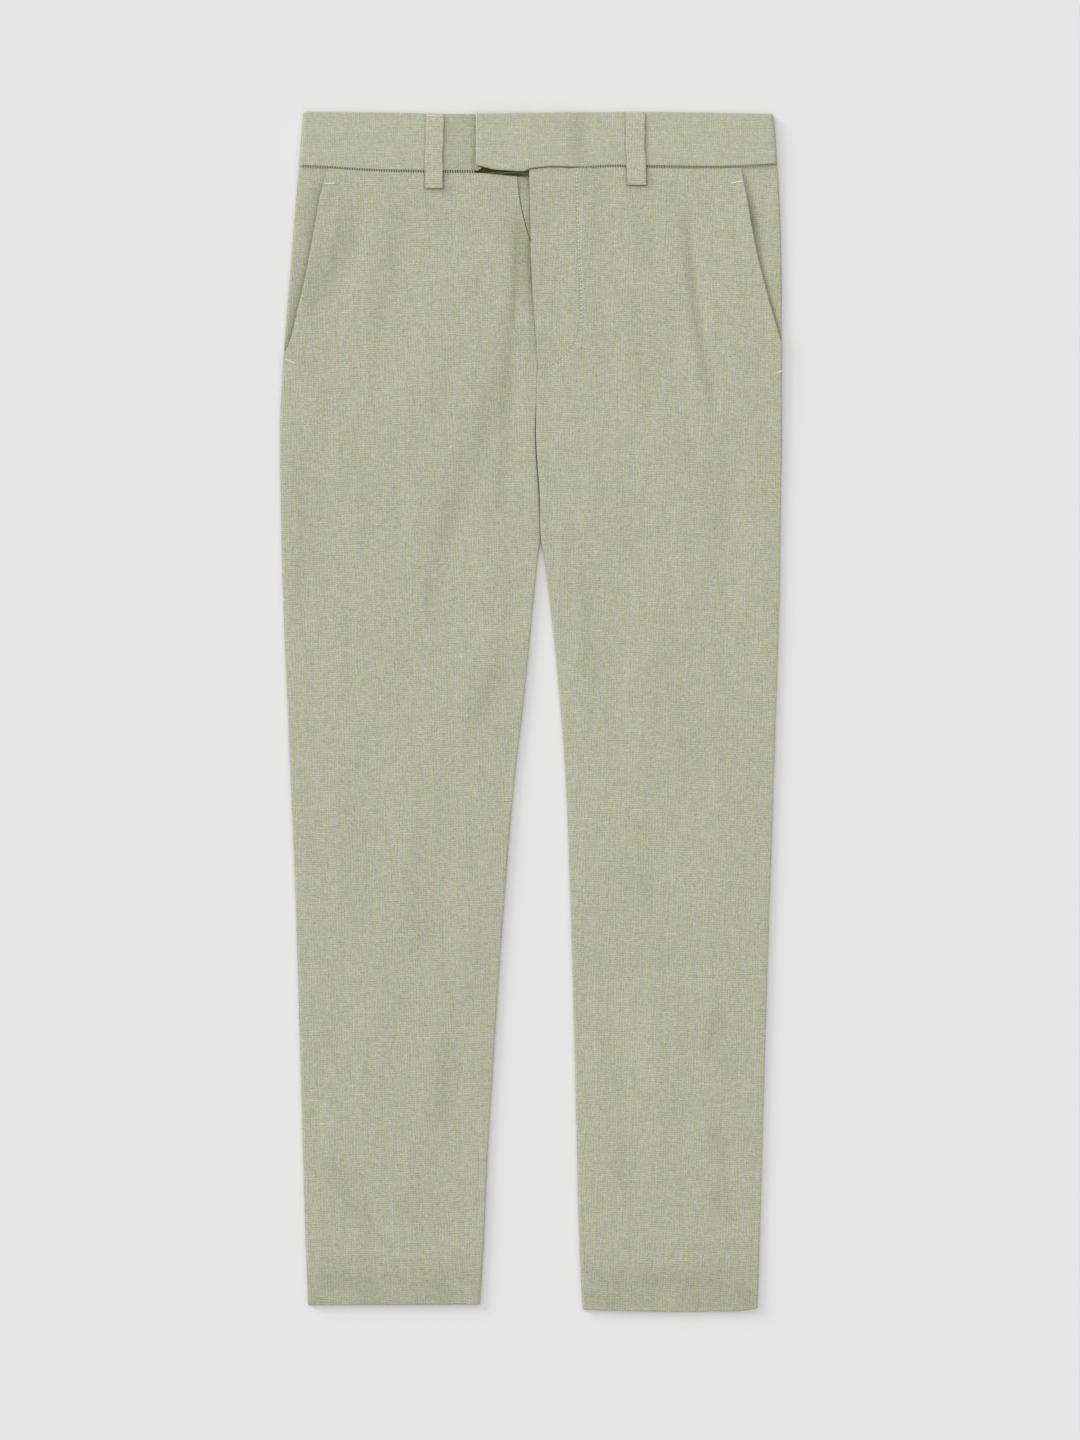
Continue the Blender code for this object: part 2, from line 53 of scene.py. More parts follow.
# ---- Driving sizes, as in the solids ----
LENGTH = 0.7684
WALL = 0.001
BAND_WALL = 0.002
GAP = 0.0003
BACK_SEAM_Z = 0.0021
FRONT_SEAM_Z = BACK_SEAM_Z + GAP
EDGE_ROUND = 0.0014  # a tighter roll than the solids have
FRONT_EDGE_Z = 0.0043
LEG_SETTLE = 0.0009  # how much lower the cloth of the legs lies than the solids
LEG_SETTLE_DOWN = (0.165, 0.270)
HEM_RISE = 0.0002
CROWN = 0.0009
SEAM_DIP = 0.0003
HEM_DEPTH = 0.039
HEM_FOLD_DOWN = LENGTH - HEM_DEPTH
HEM_TURN = 0.0006
CENTRE_BACK_X = 0.004
CROTCH_X = 0.0059
CROTCH_DOWN = 0.2737
WAIST_SEAM_DOWN = 0.036
WAIST_FADE_DOWN = 0.110
LEG_SPLIT_DOWN = (0.230, 0.290)
CENTRE_SEAM_ROLL_DOWN = (0.175, 0.262)
FLY_END_DOWN = 0.161
FLY_WIDTH = 0.031
FLY_RAISE = 0.0007
FLY_SLOPE = 0.018
FLY_TOP_DOWN = 0.075
FLY_SIDE_DIP = 0.0006
FLY_SIDE_REACH = 0.009
BAND_GAP = 0.0006
BAND_TOP_Z = 2 * BAND_WALL + BAND_GAP
TAB_TIP_X = -0.0353
UNDERLAP_END_X = 0.020
TAB_DESCENT = 0.016
TAB_CORNER = 0.0030
FACING_TOP_Z = FRONT_SEAM_Z + WALL
FACING_ROUND = 0.0016
FACING_LAP = 0.009
FACING_TAIL = 0.010
FACING_INSET = 0.0016
FACING_TUCK = 0.004
POCKET_END_DOWN = {RIGHT: 0.156, LEFT: 0.150}
POCKET_MOUTH_LIFT = {RIGHT: 0.0002, LEFT: 0.0005}
POCKET_LIFT_REACH = 0.020
SHIELD_Z = WALL + GAP
SHIELD_EDGES_X = (-0.016, 0.024)
SHIELD_END_DOWN = 0.158
LOOP_WALL = 0.0009
LOOP_ARCH = 0.0005
LOOP_ROUND = 0.00040
LOOP_FOLD = 0.007

# ---- The closer grid ----
ARC_STEPS = 6
DENSE_STEPS = 46  # the closer columns beside the fly, closest along its stitching
DENSE_SHARES = (0.0, 0.07, 0.33, 1.0)
DENSE_OFFSETS = (0.036, 0.0335, 0.0285, 0.0)
WIDE_STEPS = 40
END_STEPS = (0.0, 0.00006, 0.0002, 0.00045, 0.0008, 0.0012)  # rows beside a rounded end
LEAST_ROUND = 0.15  # share of the wall that is left at a rounded edge
STITCH_ROW = 0.00085  # three rows to a stitch of the fly
# Rows down a front and a back: how far down, and in how many steps from the place before it
FRONT_STOPS = (
    (0.046, 10), (0.052, 15), (0.132, 92), (0.168, 42), (0.250, 34),
    (0.290, 28), (0.727, 132), (0.7325, 9), (LENGTH - END_STEPS[-1], 18),
)
BACK_STOPS = ((0.250, 50), (0.290, 16), (0.727, 80), (0.7325, 5), (LENGTH - END_STEPS[-1], 8))
BACK_MIDDLE_STEPS = 14

# ---- Finer relief of the fronts ----
WANDER = 0.00075  # soft unevenness of the cloth as it lies
WANDER_SIZE = (0.026, 0.075)
RIPPLE = 0.00022
RIPPLE_SIZE = (0.009, 0.030)
PUCKER = 0.00018  # ripples that the waist seam draws
PUCKER_REACH = 0.009
PUCKER_WAVES = ((0.0097, 0.4), (0.0143, 2.1), (0.0231, 4.4))
FLY_SINK = 0.0010  # the right front sinks to the fly shield beside the fly
FLY_SINK_REACH = 0.0080
FLY_SINK_DOWN = (0.055, 0.100, 0.160, 0.200)
STITCH_PITCH = 3 * STITCH_ROW
STITCH_SINK = 0.00012
DIMPLE_SINK = 0.00062
STITCH_SINK_REACH = 0.0009
MOUTH_SAG = 0.0014  # how far the side piece sinks away below the slant
MOUTH_SAG_REACH = 0.0054
MOUTH_SAG_DOWN = 0.052
MOUTH_NARROWS = {RIGHT: (0.45, 0.090, 0.145), LEFT: (0.72, 0.074, 0.092)}
MOUTH_RISE = 0.0004  # how far the slant's edge stands up over it
MOUTH_RISE_REACH = 0.006
MOUTH_GAPE_REACH = 0.017
MOUTH_GAPE = {RIGHT: (0.105, 0.00030), LEFT: (0.071, 0.00100)}  # where the mouth stands open most
HEM_LINE_SINK = 0.00014
HEM_LINE_REACH = 0.0012
TAB_HOLE = (-0.031, -0.012, 0.0019)  # the gap below the tab opens toward the fly
UNDERLAP_RISE = 0.0022
UNDERLAP_DIP = 0.0005  # the right half of the waistband sinks to pass below the tab
UNDERLAP_DIP_RUN = (TAB_TIP_X - 0.0040, TAB_TIP_X - 0.0002)
TAB_BULGE = 0.00020
TAB_HANG_RUN = (TAB_TIP_X + 0.001, TAB_TIP_X + 0.013, -0.0040, -0.0005)
UNDER_TAB_RUN = (TAB_TIP_X + 0.0008, TAB_TIP_X + 0.0050)
TAB_DROP = 0.0018  # the tab's lower edge hangs a little below the seam
SHIELD_DROP = 0.0019
LOOP_GROOVE = 0.0002  # what a belt loop's edges press into the cloth around them
LOOP_GROOVE_ON_FRONT = 0.0004
LOOP_GROOVE_OFFSET = 0.0003
LOOP_GROOVE_REACH = 0.00050
CREASE_RUN = (-0.15, 0.3, 0.7, 1.15)  # shares of a crease's length: it runs out beyond both ends
CRISP_EDGE = 0.7  # above the crotch the centre edges are less round
CRISP_EDGE_DOWN = (0.186, 0.212)
SQUARE_EDGE_DOWN = (0.046, 0.058, 0.090, 0.110)  # and the right one's is square beside the fly
BAND_SWELL = 0.00009
# Soft noise: its height, the size of its cells and its seed
FRONT_SEED = {RIGHT: 3.7, LEFT: 8.2}
BAND_SOFT = 0.00012
BAND_SOFT_SIZE = (0.020, 0.016)
BAND_SEED = {RIGHT: 14.1, LEFT: 17.9}
SHIELD_SOFT = 0.00008
SHIELD_SOFT_SIZE = (0.008, 0.020)
SHIELD_SEED = 31.3
LOOP_SOFT = 0.00006
LOOP_SOFT_SIZE = (0.004, 0.012)
LOOP_SEED = 40.0
HEM_PATCH_SIZE = (0.016, 0.014)
HEM_SEED = 51.0
# Threads: radius, and how high a stitch rises
FLY_THREAD_RADIUS = 0.00050
FLY_THREAD_LIFT = 0.00026
TACK_THREAD_RADIUS = 0.00024
TACK_LIFT = 0.00022
TACK_WIDTH = 0.0008
SEAM_THREAD_RADIUS = 0.00036
SEAM_THREAD_DEPTH = 0.00034  # below the cloth
SEAM_THREAD_GRIP = 0.00060  # how far it reaches into the cloth on both sides of the seam
HEM_THREAD_RADIUS = 0.00012

# ---- Painted shade and painted light ----
PAINTED_SHADE_NAME = "darker"
PAINTED_SHADE_BY_CHANNEL = (1.03, 0.97, 1.36)  # painted shade turns the cloth greener, as cloth in shade does
CREASE_PAINTED_SHADE = 160.0  # painted shade in the creases: the share of the light lost for each metre of depth
# Painted shade where the right front sinks beside the fly, and along the fly's edge
FLY_PAINTED_SHADE = 0.22
FLY_PAINTED_SHADE_DOWN = (0.055, 0.085)
FLY_PAINTED_SHADE_REACH = 0.0095
FLY_EDGE_PAINTED_SHADE = 0.10
FLY_EDGE_REACH = 0.0024
# Painted shade in patches over the turned-up hem
HEM_PAINTED_SHADE = 0.06
# Painted shade on the waistband's right half, from beside its belt loop on under the tab
UNDERLAP_PAINTED_SHADE = 0.075
UNDERLAP_PAINTED_SHADE_RUN = (-0.057, -0.053)
TAB_TIP_PAINTED_SHADE = (0.06, 0.11)  # painted shade beside the tab's tip, at its top and added toward its lower corner
TAB_TIP_PAINTED_SHADE_PLACE = (TAB_TIP_X - 0.0010, 0.0019)
# Painted shade on what shows through the gap below the tab
HOLE_PAINTED_SHADE = 0.75
HOLE_RUN = (-0.040, -0.035, 0.0, 0.004)
HOLE_DOWN = (0.044, 0.050)
TAB_SEAM_RUN = (-0.004, -0.001, 0.030, 0.044)
# Painted shadow below the tab's lower edge
TAB_SHADE = 0.2
RIM_LIGHT = 0.16  # painted light: the edges that turn away from the light are painted lighter, so they stay nearly as light as the rest
# Painted shade in the ditch of the waist seam
SEAM_PAINTED_SHADE = 0.80
# Painted shade along the belt loops' outlines, on the waistband and on the front
LOOP_PAINTED_SHADE = {"band": 0.16, "front": 0.42}
# Painted shade over the fly shield
SHIELD_PAINTED_SHADE = 0.07
# Painted shade in the pockets' mouths, on the side pieces below the slants
MOUTH_PAINTED_SHADE = {RIGHT: 0.20, LEFT: 0.06}
MOUTH_SHADE = (0.26, 0.069, 0.010)  # painted shade in the deep place of the left mouth: how much, how far down and its reach
MOUTH_PAINTED_SHADE_REACH = 0.0022
MOUTH_PAINTED_SHADE_DOWN = 0.056

# ---- Light, floor and camera ----
FLOOR_ALBEDO = 0.80
FLOOR_LEVEL = 230
SUN_SHARE = 0.175  # of the light that reaches the floor
SUN_HEIGHT = np.radians(20)
SUN_BEARING = np.radians(143)  # from +X toward +Y: the upper left of the picture
SUN_ANGLE = np.radians(26)
AROUND = 0.22  # the light from all round, and below how the overhead light narrows upward
OVERHEAD_FOCUS = 3.0
FLOOR_SIZE = 12.0
FLOOR_Z = -0.0001
PIXEL = 0.00064  # what one pixel of the 1440 high picture covers on the cloth
PICTURE_HEIGHT = 1440 * PIXEL
PICTURE_MIDDLE = (0.00582, -0.00534)
LENS = 85.0
SENSOR = 36.0

# ---- Colours of the photo, 0 to 255 ----
LINEN = (181.1, 183.1, 159.8)
LINEN_BAND = (183.8, 186.5, 163.0)
LINEN_POCKET = (181.8, 183.2, 160.0)
LINEN_LOOP = (188, 187, 163.5)
THREAD = (203, 206, 182)
TACK = (236, 238, 219)
ZIP_TAPE = (168, 171, 148)
FLY_THREAD = (205, 207, 184)


def columns(names, *rows):
    """A short table: rows of millimetres become named columns of metres."""
    values = np.array(rows, dtype=float).T * MM
    return dict(zip(names.split(), values))


SIDE_SEAMS = columns(
    "down right left",
    (0, -145.8, 155.2), (18, -147.3, 156.8), (36, -148.6, 157.9), (65, -151.2, 159.5),
    (95, -153.5, 160.4), (146, -157.7, 160.7), (206, -160.8, 160.8), (243, -160.4, 160.3),
    (313, -158.7, 159.1), (398, -155.2, 156.5), (505, -150.8, 153.0), (601, -147.9, 149.9),
    (713, -144.7, 146.8), (768.4, -142.8, 145.1),
)
INNER_EDGES = columns(
    "down right left",
    (161, 4.4, 4.4), (182, 3.5, 3.5), (206, 2.9, 2.9), (225, 3.8, 3.8), (243, 5.1, 5.1),
    (270, 5.9, 5.9), (274, 5.9, 6.2), (286, 4.6, 8.5), (308, 2.2, 11.2), (344, -1.2, 15.3),
    (377, -4.5, 18.4), (429, -10.5, 22.2), (505, -16.9, 25.1), (601, -23.5, 27.8),
    (660, -27.2, 29.2), (731, -30.3, 31.1), (768.4, -32.4, 32.9),
)
FLY_EDGE = columns(
    "down x",
    (36, -1.4), (52, -0.9), (63, -0.6), (93, -0.1), (121, 1.3), (134, 2.2), (161, 4.4),
)
# How far the right front's edge stands off from the fly's edge, and below that runs on under it
STAND_OFF = columns(
    "down off",
    (36.0, 7.6), (46.0, 7.0), (56.0, 5.9), (64.0, 4.6), (72.0, 2.8), (80.0, 0.5), (88.0, -1.8),
    (96.0, -3.0), (146.0, -3.0), (161.0, 0.1),
)
# The centre seam lies closed below the fly and opens toward the crotch
SEAM_GAP = columns(
    "down gap",
    (161, 0.03), (186, 0.05), (204, 0.30),
)
SLANTS = columns(
    "down right left",
    (36, -129.9, 134.5), (58, -135.7, 138.7), (70, -137.7, 140.6), (92, -141.7, 145.0),
    (108, -144.8, 149.0), (118, -147.1, 151.6), (127, -149.3, 154.2), (143, -153.0, 158.9),
    (150, -155.4, 160.8), (156, -158.2, 160.8),
)
WAIST_TOP = columns(
    "x down",
    (-146, 0.0), (-84, 0.8), (-35, 1.7), (0, 1.1), (58, 0.2), (108, 0.6), (155, 1.6),
)
WAIST_SEAM = {}
WAIST_SEAM[RIGHT] = columns(
    "x down",
    (-148, 35.0), (-130, 35.8), (-103, 37.6), (-80, 38.2), (-38, 38.7), (20, 38.8),
)
WAIST_SEAM[LEFT] = columns(
    "x down",
    (-34.5, 36.0), (-20, 36.8), (-2, 37.4), (5, 36.4), (13, 35.8), (28, 36.1), (51, 35.0),
    (74, 35.3), (135, 35.3), (158, 33.9),
)
HEM = {}
HEM[RIGHT] = columns(
    "x down",
    (-143, 764.4), (-32, 764.0),
)
HEM[LEFT] = columns(
    "x down",
    (33, 767.4), (76, 768.3), (117, 768.3), (136, 767.9), (145, 766.6),
)
BeltLoop = namedtuple("BeltLoop", "x_top x_low width top low")
LOOP = {
    RIGHT: BeltLoop(*np.multiply((-61.5, -62.1, 11.3, 2.0, 49.4), MM)),
    LEFT: BeltLoop(*np.multiply((66.6, 67.6, 12.2, 0.6, 47.4), MM)),
}
# The largest folds, which the solids have too
FOLDS = columns(
    "top_x top middle_x middle low_x low depth reach",
    (98.6, 58, 106.3, 127, 119, 196, 0.35, 6.5),
    (63.0, 112, 68.0, 150, 73.5, 186, 0.2, 7.0),
    (-10.5, 112, -20.0, 190, -50.0, 250, 0.4, 9.0),
    (-48.0, 240, -59.0, 284, -67.0, 330, 0.3, 9.0),
    (-112.0, 62, -124.0, 102, -138.0, 134, 0.4, 9.0),
    (-84.4, 46, -88.9, 106, -98.0, 154, 0.3, 8.0),
    (-10.0, 348, -24.0, 376, -41.0, 404, 0.4, 11.0),
    (50.6, 594, 54.6, 650, 62.0, 704, 0.3, 7.0),
    (125.0, 572, 117.0, 592, 106.0, 612, 0.3, 9.0),
    (-131.0, 668, -117.0, 696, -98.0, 726, 0.4, 12.0),
)
FOLD_RIDGES = (-0.5, -0.3, 0.3, 0.2, -0.3, -0.3, 0.2, -0.3, 0.2, 0.2)
# Finer creases of the fronts: from, to, how far the line bows out, depth (a ridge is negative),
# and the reach to its left and right, so that one flank is steeper than the other
CREASES = columns(
    "x0 down0 x1 down1 bow depth left right",
    (99.4, 62, 118.0, 196, -2.3, 1.00, 3.0, 2.3),
    (93.5, 70, 112.0, 190, -2.3, -0.20, 6.0, 4.5),
    (-8.6, 60, -10.6, 136, 0.3, 0.68, 2.6, 2.8),
    (-10.6, 114, -15.5, 200, 0.3, 0.52, 5.0, 4.5),
    (-13.5, 152, -54.0, 268, 3.0, 0.38, 8.0, 9.0),
    (-15.0, 176, -21.8, 264, 1.0, 0.40, 3.0, 6.0),
    (-47.0, 236, -67.0, 336, -1.0, 0.34, 6.0, 10.0),
    (-110.5, 58, -140.0, 134, 1.5, 0.50, 6.5, 9.0),
    (-84.0, 46, -97.0, 148, 1.8, 0.30, 5.0, 8.0),
    (-148.0, 157, -137.0, 171, 0.5, 0.35, 3.0, 4.0),
    (-149.5, 208, -149.0, 330, 1.5, 0.32, 6.0, 12.0),
    (62.5, 112, 74.0, 188, -0.5, 0.22, 5.0, 8.0),
    (31.0, 278, 41.5, 378, 1.5, 0.32, 5.0, 8.0),
    (-13.0, 348, -40.0, 402, -1.0, 0.45, 6.0, 9.0),
    (-128.0, 668, -99.0, 724, -1.5, 0.42, 6.0, 9.0),
    (-84.0, 692, -77.0, 713, 0.0, 0.50, 5.0, 7.0),
    (-54.0, 588, -56.0, 660, -1.0, 0.35, 5.0, 8.0),
    (123.0, 574, 110.0, 608, 1.0, 0.48, 5.0, 7.0),
    (116.5, 648, 125.5, 675, 0.8, 0.42, 5.0, 7.0),
    (119.5, 689, 128.0, 713, -0.8, 0.42, 5.0, 7.0),
    (118.0, 738, 124.0, 755, 0.0, 0.30, 5.0, 7.0),
    (50.0, 588, 62.5, 708, 1.5, 0.25, 3.0, 6.0),
    (72.0, 478, 75.0, 534, 1.0, 0.25, 4.0, 7.0),
    (58.0, 552, 99.0, 541, 1.5, 0.22, 4.0, 6.0),
    (73.0, 566, 74.0, 626, 0.0, -0.30, 8.0, 8.0),
    (-118.0, 410, -112.0, 508, -2.0, 0.20, 7.0, 11.0),
    (-70.0, 442, -78.0, 550, 2.0, 0.18, 7.0, 10.0),
    (92.0, 320, 101.0, 442, -2.0, 0.20, 7.0, 11.0),
    (126.0, 190, 122.0, 282, 1.0, 0.18, 6.0, 9.0),
    (-112.0, 198, -104.0, 292, 2.0, 0.20, 7.0, 10.0),
)
# How wide the waist seam shows between the waistband and the fronts
SEAM_OPENING = columns(
    "x open",
    (-148, 0.20), (-134, 0.45), (-120, 0.35), (-104, 0.30), (-92, 0.40), (-78, 0.60), (-36, 0.60),
    (-2, 0.15), (14, 0.30), (56, 0.50), (90, 0.75), (112, 0.70), (150, 0.60), (158, 0.40),
)
SEAM_STITCH = 0.00157
# The J-shaped stitching of the fly, from the waist seam to the fly's end
FLY_STITCHING = columns(
    "x down",
    (29.2, 38.6), (29.8, 60.0), (31.0, 96.4), (32.3, 120.8), (31.0, 141.9), (25.5, 154.0),
    (18.5, 160.4), (9.6, 166.2),
)
# Bar tacks at the pocket ends, from end to end
POCKET_TACKS = {
    RIGHT: (
        columns("x down", (-131.6, 46.3), (-125.6, 46.2)),
        columns("x down", (-156.6, 158.8), (-151.0, 161.3)),
    ),
    LEFT: (
        columns("x down", (128.1, 46.0), (135.4, 44.8)),
        columns("x down", (157.7, 167.5), (160.4, 166.2)),
    ),
}
LOOP_TACK = columns("x down", (-66.4, 2.9), (-58.4, 3.5))


# ---- Curves ----
def smooth(at, stations, values):
    """A smooth curve through the stations, held level beyond both ends."""
    at = np.asarray(at, dtype=float)
    if len(stations) < 3:
        return np.interp(at, stations, values)
    slopes = np.gradient(values, stations)
    low = np.clip(np.searchsorted(stations, at) - 1, 0, len(stations) - 2)
    span = stations[low + 1] - stations[low]
    t = np.clip((at - stations[low]) / span, 0.0, 1.0)
    rise = values[low + 1] - values[low]
    bend_in = slopes[low] * span - rise
    bend_out = -slopes[low + 1] * span + rise
    return values[low] + t * rise + t * (1 - t) * ((1 - t) * bend_in + t * bend_out)


def follow(table, column, at):
    """The smooth curve of one column of a table against the table's first column."""
    return smooth(at, next(iter(table.values())), table[column])


def ease(at, start, end):
    """0 before start, 1 after end, and a soft step between."""
    t = np.clip((np.asarray(at, dtype=float) - start) / (end - start), 0.0, 1.0)
    return t * t * (3 - 2 * t)


def fade(at, start, end):
    """1 before start, 0 after end."""
    return 1 - ease(at, start, end)


def between(at, start, full, fading, end):
    """1 from full to fading, 0 outside start and end."""
    return ease(at, start, full) * fade(at, fading, end)


def bell(distance, reach):
    """1 at no distance, nearly 0 at twice the reach."""
    return np.exp(-((distance / reach) ** 2))


def rounding(distance, radius):
    """How much of a wall is left at a distance from its rounded edge."""
    q = np.clip(np.asarray(distance, dtype=float) / radius, 0.0, 1.0)
    return np.maximum(np.sqrt(q * (2 - q)), LEAST_ROUND)


def rounded_off(radius, *distances):
    """What is left of a wall beside several rounded edges."""
    keep = 1.0
    for distance in distances:
        keep = keep * rounding(distance, radius)
    return keep


def uneven(x, down, size, seed):
    """Soft noise over the cloth, its cells as wide and as long as size says."""
    flat = zip(np.ravel(x) / size[0], np.ravel(down) / size[1])
    values = [noise.noise(Vector((a, b, seed))) for a, b in flat]
    return np.array(values).reshape(np.shape(x))


# ---- Outlines, as in the solids ----
def side_seam(side, down):
    return follow(SIDE_SEAMS, NAME[side], down)


def fly_edge(down):
    return follow(FLY_EDGE, "x", down)


def inner_seam(side, down):
    return follow(INNER_EDGES, NAME[side], down) + side * follow(SEAM_GAP, "gap", down) / 2


def front_outer(side, down):
    seam, pocket = side_seam(side, down), follow(SLANTS, NAME[side], down)
    inside = np.where(side * pocket < side * seam, pocket, seam)
    return np.where(down < POCKET_END_DOWN[side], inside, seam)


def front_inner(side, down):
    stand_off = follow(STAND_OFF, "off", down) if side == RIGHT else -GAP / 2
    return np.where(down < FLY_END_DOWN, fly_edge(down) - stand_off, inner_seam(side, down))


def back_inner(side, down):
    centre = np.interp(down, (0, CROTCH_DOWN), (CENTRE_BACK_X, CROTCH_X))
    return np.where(down < CROTCH_DOWN, centre + side * GAP / 2, inner_seam(side, down))


def waist_seam(side, x):
    return follow(WAIST_SEAM[side], "down", x)


def seam_opening(x):
    return follow(SEAM_OPENING, "open", x)


def seam_painted_shade(x):
    """The painted shade in the ditch of the waist seam between its stitches, less where the tab stands up
    over it.
    """
    return SEAM_PAINTED_SHADE * (1 - 0.75 * between(x, *TAB_SEAM_RUN))


def over_hole(x):
    """1 on what shows through the gap below the tab, where shade is painted."""
    return between(x, *HOLE_RUN)


def mouth_arch(side, down):
    """0 at both ends of a pocket's mouth, 1 halfway."""
    share = (down - WAIST_SEAM_DOWN) / (POCKET_END_DOWN[side] - WAIST_SEAM_DOWN)
    return np.sin(np.pi * np.clip(share, 0.0, 1.0))


def loop_centre(side, down):
    """The middle of a belt loop at a distance down, held level beyond its ends."""
    loop = LOOP[side]
    share = np.clip((down - loop.top) / (loop.low - loop.top), 0.0, 1.0)
    return loop.x_top + (loop.x_low - loop.x_top) * share


def beside_loop(side, down, reach):
    """Close columns at both edges of a belt loop."""
    edges = loop_centre(side, down) + np.array([-0.5, 0.5]) * LOOP[side].width
    return (edges[:, None] + np.linspace(-reach, reach, 9)).ravel()


def loop_groove(side, x, down):
    """The narrow dip along a belt loop's outline, fainter along its left edge."""
    from_centre = x - loop_centre(side, down)
    beside, below = np.abs(from_centre) - LOOP[side].width / 2, down - LOOP[side].low
    strength = np.where((from_centre < 0) & (beside > below), 0.6, 1.0)
    return strength * bell(np.maximum(beside, below) - LOOP_GROOVE_OFFSET, LOOP_GROOVE_REACH)


# ---- Heights of the fronts ----
def fold_depths(x, down):
    """The heights that the largest folds take from the cloth's upper face."""
    total = np.zeros_like(x)
    for *fold, ridge in zip(*FOLDS.values(), FOLD_RIDGES):
        top_x, top, middle_x, middle, low_x, low, depth, reach = fold
        line = smooth(down, np.array([top, middle, low]), np.array([top_x, middle_x, low_x]))
        away = (x - line) / np.hypot(1, (low_x - top_x) / (low - top)) / reach
        run = (low - top) / 3
        along = between(down, top, top + run, low - run, low)
        beside = away - 1.7 * np.sign(ridge)
        total = total + depth * along * (bell(away, 1) - abs(ridge) * bell(beside, 1))
    return total


def crease_depths(x, down):
    """The finer creases: soft troughs and ridges with one flank steeper than the other."""
    total = np.zeros_like(x)
    for x0, down0, x1, down1, bow, depth, left, right in zip(*CREASES.values()):
        length = np.hypot(x1 - x0, down1 - down0)
        along_x, along_down = (x1 - x0) / length, (down1 - down0) / length
        from_x, from_down = x - x0, down - down0
        t = (from_x * along_x + from_down * along_down) / length
        away = from_x * along_down - from_down * along_x
        away = away - bow * 4 * t * (1 - t) * (t > 0) * (t < 1)
        shape = bell(away, np.where(away < 0, left, right))
        total = total + depth * between(t, *CREASE_RUN) * shape
    return total


def front_height(side, x, down):
    """The height of a front's upper face before its edges round down, as in the solids."""
    outer, inner = front_outer(side, down), front_inner(side, down)
    across = np.clip((x - outer) / (inner - outer), 0.0, 1.0)
    leg = ease(down, *LEG_SPLIT_DOWN)
    hem = ease(down, LENGTH - 2 * HEM_DEPTH, LENGTH - HEM_DEPTH)
    waist = fade(down, WAIST_SEAM_DOWN, WAIST_FADE_DOWN)
    crown = CROWN * (1 - 0.65 * waist) * (1 - 0.75 * hem)
    shape = 1 - (1 - across) ** 4 - leg * across**4
    height = FRONT_EDGE_Z - LEG_SETTLE * ease(down, *LEG_SETTLE_DOWN) + HEM_RISE * hem + crown * shape
    height = height - fold_depths(x, down) * (1 - hem)
    height = height - SEAM_DIP * fade(down, WAIST_SEAM_DOWN, WAIST_SEAM_DOWN + 0.008)
    return height + pocket_lift(side, x - outer, down) + fly_lift(side, np.abs(x - inner), down)


def pocket_lift(side, from_edge, down):
    end = POCKET_END_DOWN[side]
    over = bell(from_edge, POCKET_LIFT_REACH) * fade(down, end + 0.015, end + 0.050)
    mouth = POCKET_MOUTH_LIFT[side] * mouth_arch(side, down) * bell(from_edge, POCKET_LIFT_REACH / 2)
    return (FACING_TOP_Z + GAP + WALL - FRONT_EDGE_Z) * over + mouth


def fly_lift(side, from_edge, down):
    above = fade(down, FLY_END_DOWN - 0.020, FLY_END_DOWN + 0.020)
    if side == RIGHT:
        low = between(down, *FLY_SINK_DOWN)
        dip = FLY_SIDE_DIP * above * bell(from_edge, FLY_SIDE_REACH)
        return -dip - FLY_SINK * low * bell(from_edge, FLY_SINK_REACH)
    raised = FLY_RAISE * (above + fade(down, WAIST_SEAM_DOWN, FLY_TOP_DOWN))
    return raised * fade(from_edge, FLY_WIDTH, FLY_WIDTH + FLY_SLOPE)


def curve_points(table, spacing):
    """Points evenly spaced along a smooth line through a table of x and down."""
    steps = np.hypot(np.diff(table["x"]), np.diff(table["down"]))
    run = np.concatenate([[0.0], np.cumsum(steps)])
    at = np.linspace(0.0, run[-1], max(2, int(round(run[-1] / spacing)) + 1))
    return smooth(at, run, table["x"]), smooth(at, run, table["down"])


FLY_LINE_STEP = STITCH_ROW / 2
FLY_LINE = curve_points(FLY_STITCHING, FLY_LINE_STEP)


def fly_stitch_sink(x, down):
    """The channel of the fly's stitching, with a dimple at each needle hole."""
    nearest, run = np.full(np.shape(x), 1.0), np.zeros(np.shape(x))
    for i, (line_x, line_down) in enumerate(zip(*FLY_LINE)):
        distance = np.hypot(x - line_x, down - line_down)
        run = np.where(distance < nearest, i * FLY_LINE_STEP, run)
        nearest = np.minimum(nearest, distance)
    hole = np.cos(np.pi * run / STITCH_PITCH) ** 2
    return (STITCH_SINK + DIMPLE_SINK * hole) * bell(nearest, STITCH_SINK_REACH)


